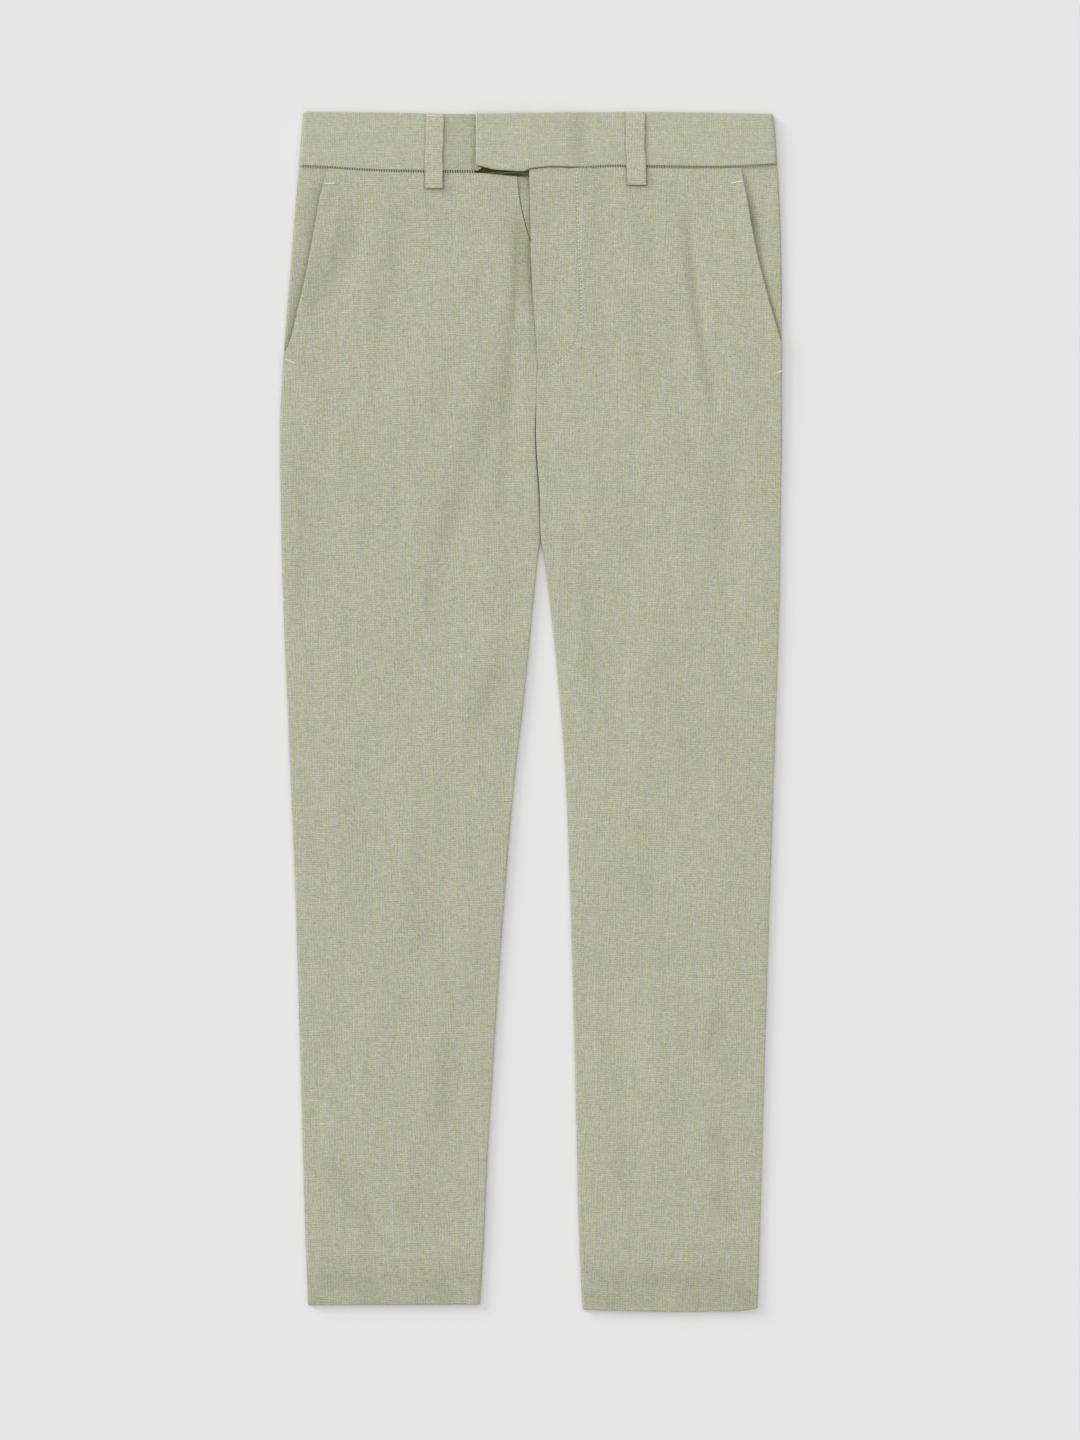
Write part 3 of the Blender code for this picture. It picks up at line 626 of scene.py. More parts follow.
def front_surface(side, x, down):
    """The height of a front's upper face with the finer relief."""
    height = front_height(side, x, down)
    from_outer = np.abs(x - front_outer(side, down))
    near = (from_outer < FACING_LAP + 0.004) & (down < POCKET_END_DOWN[side] + FACING_TAIL + 0.006)
    height = np.where(near, np.maximum(height, FACING_TOP_Z + GAP + WALL), height)
    gape_down, gape = MOUTH_GAPE[side]
    mouth = gape * bell(down - gape_down, MOUTH_GAPE_REACH) + MOUTH_RISE * mouth_arch(side, down)
    height = height + mouth * bell(from_outer, MOUTH_RISE_REACH)
    hem = ease(down, HEM_FOLD_DOWN - 0.006, HEM_FOLD_DOWN + 0.002)
    free = ease(down, WAIST_SEAM_DOWN, WAIST_SEAM_DOWN + 0.020) * (1 - 0.6 * hem)
    calm = free * ease(from_outer, 0.004, 0.022)
    seed = FRONT_SEED[side]
    height = height + WANDER * uneven(x, down, WANDER_SIZE, seed) * calm
    height = height + RIPPLE * uneven(x, down, RIPPLE_SIZE, seed + 20) * calm
    height = height - crease_depths(x, down) * (1 - 0.7 * hem)
    waves = sum(np.sin(2 * np.pi * x / length + phase) for length, phase in PUCKER_WAVES)
    from_seam = np.maximum(down - WAIST_SEAM_DOWN, 0.0)
    height = height + PUCKER * waves / 2 * np.exp(-from_seam / PUCKER_REACH)
    height = height - HEM_LINE_SINK * bell(down - HEM_FOLD_DOWN, HEM_LINE_REACH)
    height = height - LOOP_GROOVE_ON_FRONT * loop_groove(side, x, down)
    if side == LEFT:
        return height - fly_stitch_sink(x, down)
    over_shield = (x > SHIELD_EDGES_X[0] - 0.001) & (down < SHIELD_END_DOWN + 0.002)
    return np.where(over_shield, np.maximum(height, SHIELD_Z + 2 * WALL + GAP), height)


def front_painted_shade(side, x, down, from_top):
    """Painted shade: how much darker the cloth is painted in its creases and hem, round the belt loop, in
    the waist seam, below the tab and by the fly.
    """
    patchy = 0.6 + 1.6 * uneven(x, down, HEM_PATCH_SIZE, HEM_SEED)
    in_hem = between(down, HEM_FOLD_DOWN + 0.008, HEM_FOLD_DOWN + 0.020, LENGTH - 0.006, LENGTH)
    tone = CREASE_PAINTED_SHADE * crease_depths(x, down) + HEM_PAINTED_SHADE * patchy * in_hem
    tone = tone + LOOP_PAINTED_SHADE["front"] * loop_groove(side, x, down)
    tone = tone + seam_painted_shade(x) * fade(from_top, 0.0001, 0.0007)
    if side == RIGHT:
        # painted shade where the right front sinks beside the fly, and along the fly's edge
        from_fly, below = x - fly_edge(down), ease(down, *FLY_PAINTED_SHADE_DOWN)
        wide = FLY_PAINTED_SHADE * fade(down, 0.098, 0.132) * bell(from_fly, FLY_PAINTED_SHADE_REACH)
        edge = FLY_EDGE_PAINTED_SHADE * fade(down, 0.120, 0.165) * bell(from_fly, FLY_EDGE_REACH)
        tone = tone + below * (wide + edge)
        # painted shadow below the tab's lower edge
        tone = tone + TAB_SHADE * fade(from_top, 0.0002, 0.0010) * ease(x, -0.036, -0.031)
    return tone


# ---- Shells ----
def row_stations(start, stops, end=None):
    """Rows on from a rounded end, to each stop in its number of steps, to the other rounded end."""
    rows = [start + np.array(END_STEPS)]
    for stop, steps in stops:
        rows.append(np.linspace(rows[-1][-1], stop, steps + 1)[1:])
    if end is not None:
        rows.append(end - np.array(END_STEPS)[-2::-1])
    return np.concatenate(rows)


def across_rows(side, outer, inner, dense_steps, shares):
    """Places across every row, from outer to inner, and the edge's angle at each column."""
    dense_reach = DENSE_OFFSETS[0] if dense_steps else EDGE_ROUND
    angles = np.linspace(0, np.pi / 2, ARC_STEPS + 1)
    arc = EDGE_ROUND * (1 - np.cos(angles))
    start = outer[:, None] - side * arc
    end = inner[:, None] + side * arc[::-1]
    split = inner[:, None] + side * dense_reach
    parts = [start, start[:, -1:] + (split - start[:, -1:]) * shares]
    if dense_steps:
        offsets = np.interp(np.linspace(0, 1, dense_steps + 1), DENSE_SHARES, DENSE_OFFSETS)
        parts.append(split + (end[:, :1] - split) * (1 - offsets / dense_reach)[1:-1])
    x = np.concatenate([*parts, end], axis=1)
    level = np.full(x.shape[1] - 2 * len(angles), np.pi / 2)
    return x, np.concatenate([angles, level, angles[::-1]])


def rolled_edges(side, x, angles, outer_roll, inner_roll):
    """For every point: the roll of its edge, the way it turns, and its distance to the edge."""
    first = np.arange(x.shape[1]) < x.shape[1] // 2
    rolls = np.where(first, outer_roll[:, None], inner_roll[:, None])
    distance = EDGE_ROUND * (rolls * angles + (1 - rolls) * (1 - np.cos(angles)))
    distance = np.where(angles >= np.pi / 2 - 1e-6, 1.0, distance)
    return rolls, np.where(first, -side, side), distance


def panel_down(side, x, stations, opening=0.0):
    """The true distance down, once the rows bend to the waist seam and the hem."""
    station = stations[:, None]
    from_waist = fade(station, WAIST_SEAM_DOWN, WAIST_FADE_DOWN)
    from_hem = ease(station, LENGTH - 2 * HEM_DEPTH, LENGTH)
    down = station + from_waist * (waist_seam(side, x) + opening - WAIST_SEAM_DOWN)
    return down + from_hem * (follow(HEM[side], "down", x) - LENGTH)


def to_points(x, down, z):
    return np.stack(np.broadcast_arrays(x, LENGTH / 2 - down, z), axis=-1)


def drawn_in(face, other, keep):
    """The two faces of a wall, drawn together to the share that keep leaves."""
    middle = (face + other) / 2
    keep = keep[..., None]
    return middle + (face - middle) * keep, middle + (other - middle) * keep


def rounded_wall(x, down, z, lean_x, lean_z, wall, keep):
    """The two faces of a wall, the second a wall's thickness away along the lean."""
    size = np.hypot(lean_x, lean_z)
    other = to_points(x + wall * lean_x / size, down, z + wall * lean_z / size)
    return drawn_in(to_points(x, down, z), other, keep)


def panel_wall(x, down, z, stations, up, angles, rolls, turned, keep):
    """The two faces of a leg panel: its wall goes up or down from z and doubles at the hem."""
    station = stations[:, None]
    wall = WALL + HEM_TURN * ease(station, HEM_FOLD_DOWN - 0.001, HEM_FOLD_DOWN)
    keep = keep * rounding(station - stations[0], WALL / 2) * rounding(LENGTH - station, wall / 2)
    lean_x = rolls * np.cos(angles) * turned
    lean_z = up * (1 - rolls + rolls * np.sin(angles))
    return rounded_wall(x, down, z, lean_x, lean_z, wall, keep)


def new_object(name, points, faces, material):
    mesh = bpy.data.meshes.new(name)
    mesh.from_pydata(points, [], faces)
    mesh.shade_smooth()
    mesh.materials.append(material)
    made = bpy.data.objects.new(name, mesh)
    bpy.context.scene.collection.objects.link(made)
    return made


def shell(name, face, other, material, tone=None):
    """One closed piece between two facing grids of points, rows by columns, with its own painted shade."""
    rows, count = face.shape[:2]
    points = np.concatenate([face.reshape(-1, 3), other.reshape(-1, 3)])
    at = np.arange(rows * count).reshape(rows, count)
    near = np.stack([at[:-1, :-1], at[:-1, 1:], at[1:, 1:], at[1:, :-1]], axis=-1).reshape(-1, 4)
    rim = np.concatenate([at[0], at[1:, -1], at[-1, -2::-1], at[-2:0:-1, 0]])
    beyond = np.roll(rim, -1)
    sides = np.stack([beyond, rim, rim + rows * count, beyond + rows * count], axis=-1)
    faces = np.concatenate([near, near[:, ::-1] + rows * count, sides])
    a, b, c, d = (points[faces[:, i]] for i in range(4))
    volume = np.sum(np.cross(a, b) * c) + np.sum(np.cross(a, c) * d)
    faces = faces if volume > 0 else faces[:, ::-1]
    piece = new_object(name, points.tolist(), faces.tolist(), material)
    if tone is not None:
        darker = piece.data.attributes.new(PAINTED_SHADE_NAME, "FLOAT", "POINT")
        darker.data.foreach_set("value", np.tile(tone.ravel(), 2))
    return piece


def front_shell(side, material):
    """A front from the waist seam to the hem, doubled at the turned-up hem."""
    stations = row_stations(WAIST_SEAM_DOWN, FRONT_STOPS, LENGTH)
    outer, inner = front_outer(side, stations), front_inner(side, stations)
    at_loop = int(np.argmin(np.abs(stations - LOOP[side].low)))
    wide_start = outer[at_loop] - side * EDGE_ROUND
    wide_end = inner[at_loop] + side * DENSE_OFFSETS[0]
    near_loop = (beside_loop(side, LOOP[side].low, 0.002) - wide_start) / (wide_end - wide_start)
    shares = np.sort(np.concatenate([np.linspace(0, 1, WIDE_STEPS + 1)[1:], near_loop]))
    x, angles = across_rows(side, outer, inner, DENSE_STEPS, shares)
    outer_roll = ease(stations, POCKET_END_DOWN[side], POCKET_END_DOWN[side] + 0.012)
    inner_roll = ease(stations, *CENTRE_SEAM_ROLL_DOWN)
    rolls, turned, distance = rolled_edges(side, x, angles, outer_roll, inner_roll)
    station = np.repeat(stations[:, None], x.shape[1], axis=1)
    top = front_surface(side, x, station)
    z = FRONT_SEAM_Z + (top - FRONT_SEAM_Z) * (1 - rolls * (1 - np.sin(angles)))
    crisp = CRISP_EDGE * fade(station, *CRISP_EDGE_DOWN) * (turned == side)
    keep = rounding(distance, WALL / 2 * (1 - crisp))
    opening = seam_opening(x) / 2
    if side == RIGHT:
        square = between(station, *SQUARE_EDGE_DOWN) * (turned == side)
        keep = np.maximum(keep, square)
        hole_start, hole_end, hole = TAB_HOLE
        opening = opening + hole * np.clip((x - hole_start) / (hole_end - hole_start), 0.0, 1.0)
    down = panel_down(side, x, stations, opening)
    face, other = panel_wall(x, down, z, stations, -1, angles, rolls, turned, keep)
    tone = front_painted_shade(side, x, down, station - WAIST_SEAM_DOWN)
    # painted light on the rolled edges that turn away from the sun
    tone = tone - RIM_LIGHT * rolls * np.cos(angles) * (turned < 0)
    return shell("front_cloth_" + NAME[side], face, other, material, tone)


def back_shell(side, material):
    """A back that lies flat, its side seam and inseam edges rounded up to the front's."""
    stations = row_stations(WAIST_SEAM_DOWN + GAP, BACK_STOPS, LENGTH)
    outer, inner = side_seam(side, stations), back_inner(side, stations)
    shares = np.linspace(0, 1, BACK_MIDDLE_STEPS + 1)[1:]
    x, angles = across_rows(side, outer, inner, 0, shares)
    inner_roll = ease(stations, CROTCH_DOWN - 0.018, CROTCH_DOWN)
    rolls, turned, distance = rolled_edges(side, x, angles, np.ones_like(stations), inner_roll)
    z = BACK_SEAM_Z * rolls * (1 - np.sin(angles))
    keep = rounding(distance, WALL / 2)
    down = panel_down(side, x, stations)
    face, other = panel_wall(x, down, z, stations, 1, angles, rolls, turned, keep)
    # painted shade where the back shows through the gap below the tab
    tone = HOLE_PAINTED_SHADE * over_hole(x) * fade(down, *HOLE_DOWN)
    return shell("back_cloth_" + NAME[side], face, other, material, tone)


def facing_shell(side, material):
    """The side piece under the slant: it rounds over at the side seam and tucks in below."""
    start, end = WAIST_SEAM_DOWN, POCKET_END_DOWN[side]
    stations = row_stations(start, ((end - FACING_TUCK, 49), (end + FACING_TAIL, 11)))
    outer = side_seam(side, stations) - side * FACING_INSET * ease(stations, end - FACING_TUCK, end)
    inner = front_outer(side, stations) - side * FACING_LAP
    angles = np.linspace(0, np.pi / 2, ARC_STEPS + 1)
    rounded = outer[:, None] - side * FACING_ROUND * (1 - np.cos(angles))
    shares = np.linspace(0, 1, 17)[1:]
    flat = rounded[:, -1:] + (inner[:, None] - rounded[:, -1:]) * shares
    x = np.concatenate([rounded, flat], axis=1)
    level = np.concatenate([angles, np.full(len(shares), np.pi / 2)])
    station = np.repeat(stations[:, None], x.shape[1], axis=1)
    from_slant = x - front_outer(side, station)
    share, narrow_start, narrow_end = MOUTH_NARROWS[side]
    reach = MOUTH_SAG_REACH * (1 - share * ease(station, narrow_start, narrow_end))
    sag = MOUTH_SAG * bell(from_slant, reach) * ease(station, start, MOUTH_SAG_DOWN)
    z = FRONT_SEAM_Z + (WALL - sag) * np.sin(level)
    distance = np.where(level < np.pi / 2 - 1e-6, FACING_ROUND * level, 1.0)
    keep = rounded_off(WALL / 2, distance, station - start)
    down = panel_down(side, x, stations, seam_opening(x) / 2)
    face, other = rounded_wall(x, down, z, -side * np.cos(level), -np.sin(level), WALL * 0.9, keep)
    # painted shade in the pocket's mouth beside the slant, deepest in the left mouth's deep place
    tone = MOUTH_PAINTED_SHADE[side] * bell(from_slant, MOUTH_PAINTED_SHADE_REACH) * ease(station, start, MOUTH_PAINTED_SHADE_DOWN)
    if side == LEFT:
        deep, middle, along = MOUTH_SHADE
        tone = tone + deep * bell(station - middle, along) * bell(from_slant, 1.6 * MOUTH_PAINTED_SHADE_REACH)
    return shell("pocket_side_cloth_" + NAME[side], face, other, material, tone)


def band_section(side, down):
    """Outer and inner points round one half of the waistband, and how many are in front."""
    fold_x = float(side_seam(side, down)) - side * BAND_TOP_Z / 2
    tip = np.array([0.0, 0.03, 0.1, 0.25, 0.5, 0.8, 1.2]) * MM
    if side == RIGHT:
        run = [UNDERLAP_END_X - tip, np.linspace(UNDERLAP_END_X - 0.003, fold_x, 90)]
        run.append(np.linspace(*UNDERLAP_DIP_RUN, 8))
    else:
        cut = np.clip(down - (WAIST_SEAM_DOWN - TAB_CORNER), 0.0, TAB_CORNER)
        tab_x = TAB_TIP_X + TAB_CORNER - np.sqrt(TAB_CORNER**2 - cut**2)
        run = [tab_x + tip, np.linspace(tab_x + 0.002, fold_x, 110)]
    run_x = side * np.sort(side * np.concatenate([*run, beside_loop(side, down, 0.0016)]))
    if side == RIGHT:
        rise = -UNDERLAP_DIP * ease(run_x, *UNDERLAP_DIP_RUN)
    else:
        slope_x = UNDERLAP_END_X + 0.002
        rise = (BAND_WALL + GAP) * fade(run_x, slope_x, slope_x + TAB_DESCENT)
    run_z = BAND_TOP_Z + rise - LOOP_GROOVE * loop_groove(side, run_x, down)
    turn = np.linspace(0, np.pi, 17)[1:-1]
    middle = BAND_TOP_Z / 2
    back_x = np.linspace(fold_x, CENTRE_BACK_X + side * GAP / 2, 24)
    faces = []
    for depth, radius in ((0.0, middle), (BAND_WALL, BAND_GAP / 2)):
        x = np.concatenate([run_x, fold_x + side * radius * np.sin(turn), back_x])
        back_z = np.full(len(back_x), depth)
        faces.append((x, np.concatenate([run_z - depth, middle + radius * np.cos(turn), back_z])))
    return *faces, len(run_x)


def band_shell(side, material):
    """One half of the waistband, rounded at its seam, its top edge and its front end."""
    height = WAIST_SEAM_DOWN
    faces, others, tones = [], [], []
    for from_seam in row_stations(0.0, ((height - END_STEPS[-1], 21),), height):
        share = from_seam / height
        (x, z), (inner_x, inner_z), run = band_section(side, height - from_seam)
        front = np.arange(len(x)) < run
        low = waist_seam(side, x) - seam_opening(x) / 2
        under_tab = ease(x, *UNDER_TAB_RUN) * front
        if side == RIGHT:
            low = low - UNDERLAP_RISE * under_tab
        else:
            hangs = between(x, *TAB_HANG_RUN)
            low = low + TAB_DROP * hangs * front
        down = low + (follow(WAIST_TOP, "down", x) - low) * share
        from_tip = np.where(front, np.abs(x - x[0]), 1.0)
        soft = uneven(x, down, BAND_SOFT_SIZE, BAND_SEED[side])
        swell = BAND_SWELL * np.sin(np.pi * share) ** 0.5 + BAND_SOFT * soft * np.sin(np.pi * share)
        if side == LEFT:
            swell = swell + TAB_BULGE * bell(from_tip - 0.004, 0.003)
        z = z + swell * front * ease(from_tip, 0.0, 0.004)
        keep = rounded_off(BAND_WALL / 2, from_seam, height - from_seam, from_tip)
        face, other = drawn_in(to_points(x, down, z), to_points(inner_x, down, inner_z), keep)
        faces.append(face)
        others.append(other)
        # Painted shade round the belt loop, in the waist seam, by the tab, on the underlap and where the
        # gap below the tab shows
        tone = LOOP_PAINTED_SHADE["band"] * loop_groove(side, x, down)
        tone = tone + seam_painted_shade(x) * fade(from_seam, 0.0001, 0.0008)
        if side == RIGHT:
            painted_shade_by_tab = TAB_TIP_PAINTED_SHADE[0] + TAB_TIP_PAINTED_SHADE[1] * (1 - share) ** 2
            tone = tone + painted_shade_by_tab * bell(x - TAB_TIP_PAINTED_SHADE_PLACE[0], TAB_TIP_PAINTED_SHADE_PLACE[1])
            tone = tone + UNDERLAP_PAINTED_SHADE * ease(x, *UNDERLAP_PAINTED_SHADE_RUN)
            tone = tone + TAB_SHADE * under_tab * fade(from_seam, 0.0003, 0.0012)
        else:
            # painted shadow at the tab's lower edge near the fly
            tone = tone + 0.25 * fade(x, -0.003, 0.002) * fade(from_seam, 0.0004, 0.0018)
        tones.append(np.where(front, tone, HOLE_PAINTED_SHADE * over_hole(x)))
    name = "waistband_cloth_" + NAME[side]
    return shell(name, np.array(faces), np.array(others), material, np.array(tones))


def shield_shell(material):
    """The strip under the fly, level with the right front where that goes under the fly."""
    left_x, right_x = SHIELD_EDGES_X
    start, end = float(waist_seam(RIGHT, 0.0)) + GAP + SHIELD_DROP, SHIELD_END_DOWN
    middle_x = float(front_inner(RIGHT, 0.060))
    beside_edge = np.array([-2.0, -0.8, -0.3, -0.1, 0.004, 0.02, 0.08, 0.16, 0.4]) * MM
    stops = [(left_x + 0.002, 1), (middle_x - 0.003, 4)] + [(middle_x + step, 1) for step in beside_edge]
    stops += [(0.003, 39), (0.004, 1), (right_x - 0.002, 11), (right_x - END_STEPS[-1], 1)]
    first, fly_rows = FRONT_STOPS[1][0], FRONT_STOPS[2]
    rows = ((start + 0.002, 1), (first, 7), fly_rows, (end - 0.002, 9), (end - END_STEPS[-1], 1))
    across, down = np.meshgrid(row_stations(left_x, stops, right_x), row_stations(start, rows, end))
    fly_x, edge_x = fly_edge(down), front_inner(RIGHT, down)
    on_left = left_x + (edge_x - left_x) * (across - left_x) / (middle_x - left_x)
    on_right = right_x - (right_x - edge_x) * (right_x - across) / (right_x - middle_x)
    across = np.where(across < middle_x, on_left, on_right)
    keep = rounded_off(WALL / 2, across - left_x, right_x - across, down - start, end - down)
    z = SHIELD_Z + WALL + SHIELD_SOFT * uneven(across, down, SHIELD_SOFT_SIZE, SHIELD_SEED)
    beside = ease(across - edge_x, 0.000005, 0.000019) * fade(across - fly_x, 0.0005, 0.0025)
    level = front_surface(RIGHT, edge_x, down) - 0.00003
    z = z + (level - z) * beside * ease(down, 0.046, 0.062)
    # painted shade over the shield, deepest at its top in the gap below the tab, and beside the fly
    tone = SHIELD_PAINTED_SHADE + HOLE_PAINTED_SHADE * fade(down, start + 0.0001, start + 0.0007)
    tone = tone + FLY_EDGE_PAINTED_SHADE * bell(across - fly_x, FLY_EDGE_REACH)
    tone = tone + FLY_PAINTED_SHADE * 0.7 * ease(down, *FLY_PAINTED_SHADE_DOWN)
    face, other = rounded_wall(across, down, z, 0 * across, 0 * across - 1, WALL * 0.95, keep)
    return shell("fly_shield_cloth", face, other, material, tone)


def loop_shell(side, material):
    """A belt loop over the waistband, arched for the belt, its lower end folded under itself."""
    top, low, half = LOOP[side].top, LOOP[side].low, LOOP[side].width / 2
    fold, phase = low - LOOP_FOLD, (side + 1) / 2
    rows = ((top + 0.002, 1), (fold - 0.004, 29), (fold - 0.0035, 1), (fold, 5))
    rows += ((low - 0.0016, 5), (low - END_STEPS[-1], 1))
    inset = half - 0.0018
    stops = ((-inset, 1), (inset, 12), (half - END_STEPS[-1], 1))
    across, down = np.meshgrid(row_stations(-half, stops, half), row_stations(top, rows, low))
    share = (down - top) / (low - top)
    wave = 2 * np.pi * share
    bow = 0.00030 * np.sin(wave * 1.3 + phase) + 0.00018 * np.sin(wave * 3.1 + 2 * phase)
    x = loop_centre(side, down) + across * (1 - 0.02 * share) + bow
    under = BAND_TOP_Z + GAP + LOOP_ARCH * ease(down, top, top + 0.008)
    over = under + LOOP_WALL
    seat_x = LOOP[side].x_low + np.linspace(-half, half, 5)
    seat = float(np.max(front_height(side, seat_x, np.full(5, low)))) + GAP
    folded = ease(down, fold - 0.003, fold)
    under = under + (seat - under) * folded
    over = np.maximum(over, seat + 2 * LOOP_WALL) * folded + over * (1 - folded)
    over = over - 0.00035 * ease(down, low - 0.004, low) - 0.00012 * (across / half) ** 4
    over = over + LOOP_SOFT * uneven(x, down, LOOP_SOFT_SIZE, LOOP_SEED + phase)
    keep = rounded_off(LOOP_ROUND, across + half, half - across, down - top, low - down)
    face, other = drawn_in(to_points(x, down, over), to_points(x, down, under), keep)
    return shell("belt_loop_cloth_" + NAME[side], face, other, material)


# ---- Sewing ----
def stitch(x0, down0, x1, down1, z0, z1, lift):
    """A thread that comes up, runs over the cloth and dives again."""
    t = np.array([0.0, 0.2, 0.5, 0.8, 1.0])
    rise = np.array([-0.6, 0.6, 1.0, 0.6, -0.6]) * lift
    return to_points(x0 + (x1 - x0) * t, down0 + (down1 - down0) * t, z0 + (z1 - z0) * t + rise)


def sewing(name, stitches, radius, material, sides=6):
    """Many stitches as one mesh, each a thin tube that draws in at both ends."""
    points = np.array(stitches)
    tangents = np.gradient(points, axis=1)
    tangents = tangents / np.linalg.norm(tangents, axis=2, keepdims=True)
    beside = np.cross(tangents, (0.0, 0.0, 1.0))
    beside = beside / np.linalg.norm(beside, axis=2, keepdims=True)
    above = np.cross(beside, tangents)
    turn = np.linspace(0, 2 * np.pi, sides, endpoint=False)[:, None]
    ring = beside[:, :, None] * np.cos(turn) + above[:, :, None] * np.sin(turn)
    radii = radius * np.array([0.4, 1.0, 1.0, 1.0, 0.4])
    verts = points[:, :, None] + ring * radii[:, None, None]
    at = np.arange(verts[..., 0].size).reshape(verts.shape[:3])
    after = np.roll(at, -1, axis=2)
    quads = np.stack([at[:, :-1], after[:, :-1], after[:, 1:], at[:, 1:]], axis=-1).reshape(-1, 4)
    ends = np.concatenate([at[:, 0, ::-1], at[:, -1]])
    return new_object(name, verts.reshape(-1, 3).tolist(), quads.tolist() + ends.tolist(), material)


def fly_stitching(material):
    """The J-shaped row of stitches that holds the fly's facing."""
    x, down = FLY_LINE
    stitches = []
    for i in range(2, len(x) - 3, 6):
        ends_x, ends_down = x[[i - 1, i + 3]], down[[i - 1, i + 3]]
        z = front_surface(LEFT, ends_x, ends_down)
        stitches.append(stitch(ends_x[0], ends_down[0], ends_x[1], ends_down[1], *z, FLY_THREAD_LIFT))
    return sewing("fly_stitches", stitches, FLY_THREAD_RADIUS, material)


def bar_tack(side, ends, width, height_of, spacing=0.0005):
    """Close crosswise wraps of thread along a short bar."""
    x, down = curve_points(ends, spacing)
    run = np.array([x[-1] - x[0], down[-1] - down[0]])
    along = run / np.hypot(*run)
    reach_x, reach_down = np.array([-along[1], along[0]]) * width / 2 + along * spacing * 0.4
    stitches = []
    for px, pdown in zip(x, down):
        x0, down0, x1, down1 = px - reach_x, pdown - reach_down, px + reach_x, pdown + reach_down
        z = height_of(side, np.array([x0, x1]), np.array([down0, down1]))
        stitches.append(stitch(x0, down0, x1, down1, *z, TACK_LIFT))
    return stitches


def stitch_row(x, down, z, half_x, half_down, lift):
    """Like stitches in a row, each half_x and half_down to both sides of its place."""
    places = zip(x, down, z, np.broadcast_to(half_down, x.shape))
    return [stitch(a - half_x, b - h, a + half_x, b + h, c, c, lift) for a, b, c, h in places]


def waist_seam_threads(side, material):
    """The seam's threads, which show as a ladder between the waistband and the front."""
    start, end = (-0.1465, TAB_TIP_X) if side == RIGHT else (0.0015, 0.1560)
    x = np.arange(start, end, SEAM_STITCH)
    z = np.minimum(front_height(side, x, np.full_like(x, WAIST_SEAM_DOWN)), BAND_TOP_Z) - SEAM_THREAD_DEPTH
    reach = seam_opening(x) / 2 + SEAM_THREAD_GRIP
    stitches = stitch_row(x, waist_seam(side, x), z, 0.0001, reach, 0.00025)
    return sewing("waist_seam_stitches_" + NAME[side], stitches, SEAM_THREAD_RADIUS, material)


def hem_stitches(side, material):
    """Small blind stitches that hold the turned-up hem."""
    outer, inner = float(front_outer(side, HEM_FOLD_DOWN)), float(front_inner(side, HEM_FOLD_DOWN))
    x = np.arange(min(outer, inner) + 0.004, max(outer, inner) - 0.004, 0.0052)
    station = np.full_like(x, HEM_FOLD_DOWN)
    down = panel_down(side, x[None, :], station[:1])[0]
    stitches = stitch_row(x, down, front_surface(side, x, station), 0.0003, 0.00005, 0.00006)
    return sewing("hem_stitches_" + NAME[side], stitches, HEM_THREAD_RADIUS, material)


# ---- Materials ----
def linear(channel):
    value = channel / 255
    return value / 12.92 if value <= 0.04045 else ((value + 0.055) / 1.055) ** 2.4


class Output:
    """What a shader node gives, so that a material can be written as sums and products."""

    def __init__(self, tree, socket):
        self.tree = tree
        self.socket = socket

    def math(self, operation, *others):
        return node(self.tree, "Math", enumerate((self, *others)), operation=operation)

    def __add__(self, other):
        return self.math("ADD", other)

    def __sub__(self, other):
        return self.math("SUBTRACT", other)

    def __mul__(self, other):
        return self.math("MULTIPLY", other)

    def __truediv__(self, other):
        return self.math("DIVIDE", other)


def node(tree, kind, inputs=(), out=0, **settings):
    """One output of a new shader node, whose inputs are numbers or other outputs."""
    made = tree.nodes.new("ShaderNode" + kind)
    for key, setting in settings.items():
        setattr(made, key, setting)
    for key, given in dict(inputs).items():
        if isinstance(given, Output):
            tree.links.new(given.socket, made.inputs[key])
        else:
            made.inputs[key].default_value = given
    return Output(tree, made.outputs[out])


def joined(tree, x, y, z):
    return node(tree, "CombineXYZ", enumerate((x, y, z)))


def separated(tree, vector):
    parts = node(tree, "SeparateXYZ", {0: vector}).socket.node.outputs
    return [Output(tree, part) for part in parts]


def new_material(name, roughness, specular):
    material = bpy.data.materials.new(name)
    material.use_nodes = True
    shader = material.node_tree.nodes["Principled BSDF"]
    shader.inputs["Roughness"].default_value = roughness
    shader.inputs["Specular IOR Level"].default_value = specular
    return material, material.node_tree, shader


def paint(tree, shader, colour, channels):
    """The base colour: a colour of the photo with a share for each channel."""
    base = (*(linear(c) for c in colour), 1.0)
    mixed = node(tree, "Mix", {0: 1.0, 6: base, 7: channels}, 2, data_type="RGBA", blend_type="MULTIPLY")
    tree.links.new(mixed.socket, shader.inputs["Base Color"])


# Yarns too fine to show singly, and the soft ribs of light and dark that they add up to
WARP_PITCH = 0.000462
WEFT_PITCH = 0.000441
YARN_DRIFT = 0.0006
WARP_RIB = 0.00166
WEFT_RIB = 0.00138
RIB_PHASE = 12.0
# Painted shade: toward the hems the cloth is a little darker: from and to a height up the picture, and the
# share
LEG_PAINTED_SHADES = (
    (-0.34, 0.14, 0.975),
    (0.020 - LENGTH / 2, HEM_DEPTH + 0.010 - LENGTH / 2, 0.945),
)


